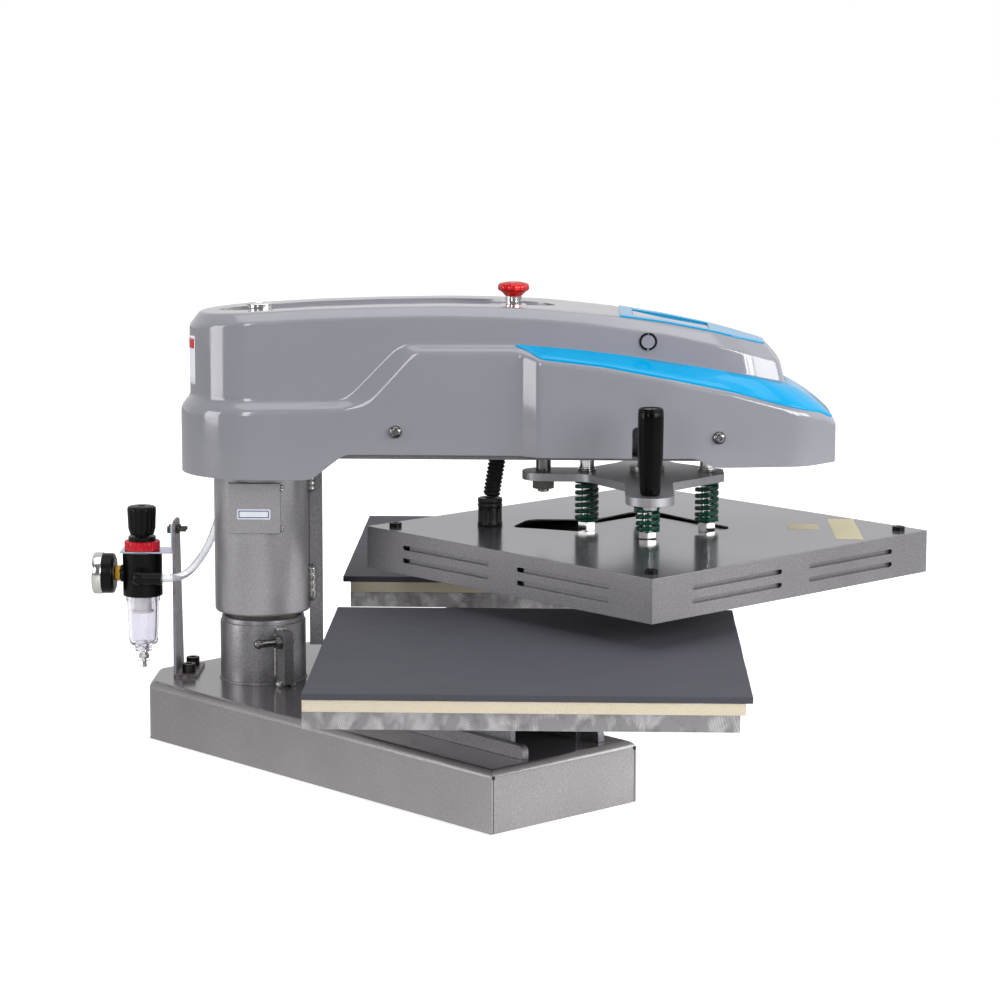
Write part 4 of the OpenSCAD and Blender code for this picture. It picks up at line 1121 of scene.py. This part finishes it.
def wavy_slab(name, look, amount, size):
    """Hand-cut sheets: the CAD slabs with a fine grid along their edges, which wander by up to amount."""
    bm = from_node(name)
    for axis in range(2):
        low, high = (int(f(v.co[axis] for v in bm.verts)) for f in (min, max))
        for cut_at in range(low + 6, high - 4, 8):
            at, normal = Vector((0, 0, 0)), Vector((0, 0, 0))
            at[axis], normal[axis] = cut_at, 1
            bmesh.ops.bisect_plane(bm, geom=list(bm.verts) + list(bm.edges) + list(bm.faces), plane_co=at,
                                   plane_no=normal)
    zs = sorted({round(v.co.z, 2) for v in bm.verts})
    for vert in bm.verts:
        inside = zs[0] + 0.01 < vert.co.z < zs[-1] - 0.01
        shift = noise.noise_vector(Vector((vert.co.x, vert.co.y, vert.co.z * 3)) / size) * amount
        side = Vector((round(vert.normal.x), round(vert.normal.y), 0))
        if side.length > 0.5 and not inside:
            vert.co -= side * abs(shift.x)
    return put(name, bm, "base", look, ease=0.5, limit=40)


def make_lower_platens():
    foam = wavy_slab("platen_foams", "foam", 0.9, 14)
    pad = wavy_slab("rubber_pads", "rubber", 0.5, 60)


# ------------------------------------------------------------ filter regulator

REG = (-127, 10, 0)
GAUGE = (REG[0], REG[1], 166.5)
HOSE = [(-115, -19, 166.5), (-103, -19, 166.5), (-92, -18.5, 167), (-82, -15, 169), (-74, -8, 174),
        (-67, 3, 182), (-60, 17, 193), (-54, 29, 208), (-49, 37, 226), (-48, 39, 245), (-50, 36.5, 262),
        (-53, 32.5, 280), (-54, 31, 305), (-54, 31, 335), (-53.5, 31, 358), (-51, 29.5, 375),
        (-45, 26, 390), (-36, 21, 400), (-25, 14.5, 405), (-14, 8, 406)]


def make_regulator():
    def ribs(turn, radius, z):
        if radius < 9 or not 212 < z < 237:
            return radius
        return radius - 1.0 * (0.5 + 0.5 * math.cos(14 * turn)) ** 3
    lathe("regulator_knob", "regulator_knob", "black", [
        (5.05, 208), (12.2, 208), (12.6, 208.4), (12.6, 210), (13.2, 210.6), (13.4, 212.4), (14, 213.4),
        (14.3, 216), (14.6, 225), (15, 233), (15, 235.4), (14.4, 237), (12.8, 237.8), (4, 238),
        (3.6, 237.4), (0, 237.2), (0, 234.4), (5.05, 234.4)], REG, steps=168, swell=ribs, sharp=50)

    def scallops(turn, radius, z):
        return radius - (0.7 * max(0, math.cos(22 * turn)) ** 2 if radius > 17 and 193 < z < 201 else 0)
    lathe("lock_ring", "base", "red", [
        (14.35, 192), (17.8, 192), (18.5, 192.6), (18.5, 193.4), (18.5, 197), (18.5, 200.4),
        (18.2, 201.2), (17.4, 201.5), (14.35, 201.5)], REG, steps=176, swell=scallops, sharp=45)

    def ribbed(turn, radius, z):
        return radius + (0.5 * max(0, math.cos(12 * turn)) ** 8 if radius > 16.5 and 138 < z < 143.5 else 0)
    lathe("filter_bowl", "base", "bowl", [
        (4.2, 84), (8.2, 84), (9, 84.8), (9, 89.2), (9.6, 90), (11, 90.4), (13, 91.4), (14.6, 93.4),
        (15.2, 96), (16.2, 118), (17.1, 137.8), (17.5, 138.2), (17.5, 143.6), (15.4, 143.7),
        (15.4, 149.5), (13.6, 149.5), (13.5, 142), (12.9, 118), (12.1, 98), (11.4, 95.4), (9.4, 93.8),
        (4.2, 93.5)], REG, steps=144, swell=ribbed)
    bm = turned([(4, 128), (8.8, 128), (9, 128.4), (9, 145.6), (8.6, 146), (4, 146)], REG)
    turned([(0, 125.8), (11, 125.8), (11.5, 126.4), (11.5, 127.4), (11, 128), (0, 128)], REG, bm=bm)
    put("filter_element", bm, "base", "white", sharp=40)
    bm = turned([
        (0, 66), (1.2, 66), (1.2, 68), (2.2, 66.6), (2.9, 67), (3, 69), (2.6, 70), (2.6, 76), (5.2, 76.4),
        (5.6, 77.2), (5.6, 80.4), (4.1, 81), (4.1, 95), (0, 95)], REG, closed=False)
    turned([
        (0, -7), (0.8, -7), (1, -6.8), (1, 6.8), (0.8, 7), (0, 7)], (REG[0], REG[1], 73.4), (1, 0, 0), 20,
        bm=bm)
    put("drain_valve", bm, "drain_valve", "chrome", sharp=40)

    west = (-1, 0, 0)
    lathe("gauge_case", "base", "black", [
        (0, 28.5), (16, 28.5), (17.2, 28.5), (17.6, 29.3), (18.6, 29.3), (20, 29.6), (20.8, 30.6),
        (21, 32), (21, 46), (19.2, 46), (19.2, 39), (0, 39)], GAUGE, west, 128)
    lathe("gauge_bezel", "base", "chrome", [
        (21, 41.4), (21.5, 41.2), (21.8, 41.6), (21.8, 48.8), (21.5, 50.2), (20.6, 51), (19.6, 50.9),
        (19.2, 50.3), (19.2, 45.9), (21, 45.9)], GAUGE, west, 128)
    lathe("gauge_dial", "base", "white", [(1.05, 39), (19, 39), (19, 40.5), (1.05, 40.5)], GAUGE, west, 96)
    lathe("gauge_lens", "base", "lens", [
        (0, 48.5), (19.1, 48.5), (19.1, 49.7), (16, 50.1), (0, 50.4)], GAUGE, west, 96)
    bm = bmesh.new()
    face = aimed_upright(GAUGE)
    for k in range(41):
        turn = Matrix.Rotation(math.radians(225 - 270 * k / 40), 4, "Z")
        inner = 14.0 if k % 8 == 0 else 15.6
        wide = 0.3 if k % 8 == 0 else 0.14
        bar((inner, -wide, 40.55), (17.6, wide, 40.7), bm, face @ turn)
    put("gauge_marks", bm, "base", "black")
    bm = turned([
        (0, 39.1), (1, 39.1), (1, 43.3), (1.9, 43.4), (1.9, 43.8), (1.5, 44.1), (0, 44.2)], GAUGE, west,
        32)
    for reach, half in ((14.6, 0.25), (-5, 0.8)):
        prism([(-half * 1.6, 0), (-half, reach), (half, reach), (half * 1.6, 0)] if reach > 0 else
              [(-half, reach), (half, reach), (half * 0.8, 0), (-half * 0.8, 0)], 42.2, 42.8, bm,
              aimed_upright(GAUGE))
    put("gauge_needle", bm, "gauge_needle", "needle_red", sharp=40)
    bm = hex_nut(14.4, 22.8, 28.2, 0)
    turned([(0, 20.8), (6, 20.8), (6, 28.4), (0, 28.4)], steps=48, bm=bm)
    bmesh.ops.transform(bm, matrix=aimed(GAUGE, west), verts=bm.verts)
    put("gauge_fitting", bm, "base", "brass", sharp=35)

    path = spline(HOSE, 2.5)
    bm = tube(path, 3.98, 24)
    put("air_hose", bm, "base", "hose", sharp=60)
    elbow = (REG[0], REG[1] - 29, GAUGE[2])
    lathe("hose_collet", "base", "chrome", [
        (4.05, 17.5), (5.6, 17.5), (5.9, 18), (5.9, 19.6), (6.7, 19.8), (6.7, 22.2), (6.3, 22.6),
        (4.05, 22.6)], elbow, (1, 0, 0), 64)


def aimed_upright(at):
    """Frame on the gauge's face: +Z out of it towards -X, and +Y up."""
    turn = Matrix(((0, 0, -1), (-1, 0, 0), (0, 1, 0))).to_4x4()
    return Matrix.Translation(at) @ turn


# Nodes whose own solids stay, with eased edges: look, bevel in millimetres, steps of the bevel
EASED = {
    "bottom_plate": ("frame_paint", 0.3, 1),
    "stop_lugs": ("frame_paint", 0.8, 3), "stop_screws": ("guide_steel", 0.4, 2),
    "platen_supports": ("frame_paint", 0.8, 2), "lower_plates": ("milled", 0.4, 2),
    "regulator_bracket": ("rusty", 0.6, 2), "bracket_screws": ("dark_steel", 0.45, 2),
    "regulator_clip": ("zinc", 0.4, 2), "regulator_body": ("black", 0.7, 3),
    "elbow_fitting": ("black", 0.6, 2), "hose_swivel": ("steel", 0.6, 2),
    "stop_bar": ("frame_paint", 0.7, 2), "sleeve_patch": ("sleeve_paint", 0.8, 2),
    "arm_frame": ("frame_paint", 0.5, 2), "display_window": ("glass", 0.2, 1),
    "air_cylinder": ("spider_metal", 1.0, 2), "solenoid_valve": ("satin_black", 0.6, 2),
    "controller_box": ("board", 1.2, 2), "spider_plate": ("spider_metal", 0.7, 3),
    "heating_plate": ("milled", 0.8, 2), "spring_plate": ("platen_paint", 0.3, 2),
    "corner_bolts": ("black", 0.5, 2), "regulator_stem": ("satin_black", 0.3, 2),
}
# Nodes shown as they are, because their own shape is right
PLAIN = {"inner_post": "dark_steel", "column_bearings": "dark_steel", "insulation_board": "fibre_and_seam_shade"}


# Driving sizes of the folded base: how far its arms' outer and inner sides lie from their middle lines,
# how long the outer sides are, how much longer the inner ones, and half the width of its end
ARM_OUTER = 104.7
ARM_INNER = 80
ARM_REACH = 460
ARM_SKEW = 6
END_HALF = 31.5
# Height of the base, and how round its folds are
BASE_TOP = 60
FOLD = 8.5


def base_plan():
    """Corners of the base in plan: its arms lie at 45 degrees to either side of the X axis."""
    root = math.sqrt(0.5)
    end = (END_HALF - ARM_OUTER * math.sqrt(2), END_HALF)
    tip = ((ARM_REACH - ARM_OUTER) * root, (ARM_REACH + ARM_OUTER) * root)
    inner = ((ARM_REACH + ARM_SKEW + ARM_INNER) * root, (ARM_REACH + ARM_SKEW - ARM_INNER) * root)
    half = [(x, -y) for x, y in (end, tip, inner)]
    plan = half + [(ARM_INNER * math.sqrt(2), 0)] + [(x, -y) for x, y in reversed(half)]
    return [(round(x, 1), round(y, 1)) for x, y in plan]


BASE_PLAN = base_plan()


def base_ease(mid):
    """Folds are round; the open seams at the ends of the arms and all holes are nearly sharp."""
    for (x0, y0), (x1, y1) in zip(BASE_PLAN, BASE_PLAN[1:] + BASE_PLAN[:1]):
        length = math.hypot(x1 - x0, y1 - y0)
        off = abs((mid.x - x0) * (y1 - y0) - (mid.y - y0) * (x1 - x0)) / length
        if off < 0.6 and mid.z > BASE_TOP - 1:
            return FOLD
    corner = min(math.hypot(mid.x - x, mid.y - y) for x, y in (BASE_PLAN[0], BASE_PLAN[3], BASE_PLAN[6]))
    return FOLD if corner < 1 and BASE_TOP / 3 < mid.z < BASE_TOP * 2 / 3 else 0.25


def make_base():
    put("base_frame", from_node("base_frame"), "base", "base_paint", ease=base_ease, steps=6)
    # Thin dark strips over the open seams at the ends of the arms, wider at the top over their round holes:
    # painted shade for gaps and holes that are not cut
    bm = bmesh.new()
    for side in (1, -1):
        outer, inner = (Vector((x, y * side, 0)) for x, y in (BASE_PLAN[1], BASE_PLAN[2]))
        along = (inner - outer).normalized()
        out = Vector((along.y * side, -along.x * side, 0))
        for corner, step in ((outer, 2.6), (inner, -2.6)):
            at = corner + along * step
            place = Matrix.Translation(at) @ aimed((0, 0, 0), out)
            up = (place.to_3x3().inverted() @ Vector((0, 0, 1))).normalized()
            wide = up.cross(Vector((0, 0, 1)))
            for half, low, high in ((0.35, 0.5, 51.5), (1.7, 51.5, 54.6)):
                corners = ((-half, low), (half, low), (half, high), (-half, high))
                ring = [place @ (wide * a + up * b) for a, b in corners]
                loft([[p + out * lift for p in ring] for lift in (-0.6, 0.12)], bm)
    put("base_seam_shade", bm, "base", "fibre_and_seam_shade")


def make_frame_parts():
    bodies = frame["record"]["behaviour"]["bodies"]
    body_of = {node: body for body, nodes in bodies.items() for node in nodes}
    for node, (look, ease, steps) in EASED.items():
        put(node + "_piece", from_node(node), body_of[node], look, [node], ease, steps)
    for node, look in PLAIN.items():
        for slot in frame["nodes"][node].material_slots:
            slot.material = LOOKS[look].material


# -------------------------------------------------------------------- stage

def softbox(name, at, aim, size, power):
    data = bpy.data.lights.new(name, "AREA")
    data.shape = "RECTANGLE"
    data.size, data.size_y = size
    data.energy = power
    lamp = bpy.data.objects.new(name, data)
    lamp.location = at
    lamp.rotation_euler = (Vector(aim) - Vector(at)).to_track_quat("-Z", "Y").to_euler()
    bpy.context.scene.collection.objects.link(lamp)


def link_math(tree, operation, a, b):
    """Socket of one operation on two sockets, in any node tree."""
    made = tree.nodes.new("ShaderNodeMath")
    made.operation = operation
    for socket, value in zip(made.inputs, (a, b)):
        tree.links.new(value, socket)
    return made.outputs[0]


def link_range(tree, value, *limits):
    """Socket of value mapped from its first two limits to the other two, and clamped."""
    made = tree.nodes.new("ShaderNodeMapRange")
    for name, limit in zip(("From Min", "From Max", "To Min", "To Max"), limits):
        made.inputs[name].default_value = limit
    tree.links.new(value, made.inputs["Value"])
    return made.outputs["Result"]


def link_pick(tree, factor, a, b):
    """Socket that goes from a to b, numbers or sockets, as factor goes from 0 to 1."""
    made = tree.nodes.new("ShaderNodeMix")
    tree.links.new(factor, made.inputs["Factor"])
    for name, value in (("A", a), ("B", b)):
        if isinstance(value, float):
            made.inputs[name].default_value = value
        else:
            tree.links.new(value, made.inputs[name])
    return made.outputs["Result"]


def through_clear(tree):
    """Socket that is 1 for what the camera sees directly or through clear plastic."""
    seen = tree.nodes.new("ShaderNodeLightPath").outputs
    return link_math(tree, "MAXIMUM", seen["Is Camera Ray"], seen["Is Transmission Ray"])


def make_floor():
    """White floor that paint reflects as a bright patch under the press, fading outwards."""
    mesh = bpy.data.meshes.new("floor")
    reach, low = 14.0, -0.001
    mesh.from_pydata([(-reach, -reach, low), (reach, -reach, low), (reach, reach, low),
                      (-reach, reach, low)],
                     [], [(0, 1, 2, 3)])
    look = bpy.data.materials.new("floor")
    look.use_nodes = True
    tree = look.node_tree
    shader = tree.nodes["Principled BSDF"].inputs
    shader["Roughness"].default_value = 0.9
    shader["Specular IOR Level"].default_value = 0.1
    shader["Emission Color"].default_value = (1, 1, 1, 1)
    seen = through_clear(tree)
    gap = tree.nodes.new("ShaderNodeVectorMath")
    gap.operation = "DISTANCE"
    gap.inputs[1].default_value = (0.5, -0.3, 0)
    tree.links.new(tree.nodes.new("ShaderNodeTexCoord").outputs["Object"], gap.inputs[0])
    shine = link_range(tree, gap.outputs["Value"], 0.0, 0.85, 1.35, 0.06)
    glossy = link_math(tree, "MULTIPLY", shine,
                       tree.nodes.new("ShaderNodeLightPath").outputs["Is Glossy Ray"])
    tree.links.new(link_pick(tree, seen, 0.5, 0.86), shader["Base Color"])
    tree.links.new(link_pick(tree, seen, glossy, 0.6), shader["Emission Strength"])
    mesh.materials.append(look)
    piece = bpy.data.objects.new("floor", mesh)
    bpy.context.scene.collection.objects.link(piece)


def make_studio():
    """Plain white behind the press, and for reflections a room that is brighter to the rear and right."""
    world = bpy.data.worlds.new("studio")
    bpy.context.scene.world = world
    world.use_nodes = True
    tree = world.node_tree
    split = tree.nodes.new("ShaderNodeSeparateXYZ")
    tree.links.new(tree.nodes.new("ShaderNodeTexCoord").outputs["Generated"], split.inputs[0])
    shares = [link_range(tree, split.outputs["Y"], -0.7, 0.6, 0.16, 0.75),
              link_range(tree, split.outputs["X"], 0.2, 1.0, 0.0, 0.45)]
    room = link_math(tree, "ADD", *shares)
    back = tree.nodes["Background"].inputs
    tree.links.new(link_pick(tree, through_clear(tree), room, 1.0), back["Strength"])
    back["Color"].default_value = (1, 1, 1, 1)
    bpy.context.scene.view_settings.view_transform = "Standard"


def make_lights():
    """Softboxes: name, place, aim, size and power."""
    softbox("left_box", (-0.75, -2.5, 1.3), (0.1, 0, 0.3), (0.5, 1.4), 14)
    softbox("side_box", (-2.7, -1.0, 0.9), (0, 0, 0.3), (1.3, 1.6), 34)
    softbox("right_box", (2.2, -1.8, 1.05), (0.1, 0, 0.25), (0.7, 1.1), 27)
    softbox("nose_box", (1.9, -2.4, 1.1), (0.45, 0, 0.35), (0.3, 1.0), 12)
    softbox("end_box", (2.9, -0.9, 1.2), (0.4, 0, 0.25), (1.4, 1.0), 34)
    softbox("top_box", (0.3, -0.2, 2.6), (0.25, 0, 0.2), (2.6, 2.0), 26)


make_camera()
make_floor()
make_lights()
make_studio()
make_base()
make_frame_parts()
COLUMNS = cover_columns()
make_cover(COLUMNS)
make_trim(COLUMNS)
make_panel(COLUMNS)
make_tail_label(COLUMNS)
make_arm_details()
make_column()
make_press_head()
make_conduit()
make_platen()
make_lower_platens()
make_regulator()
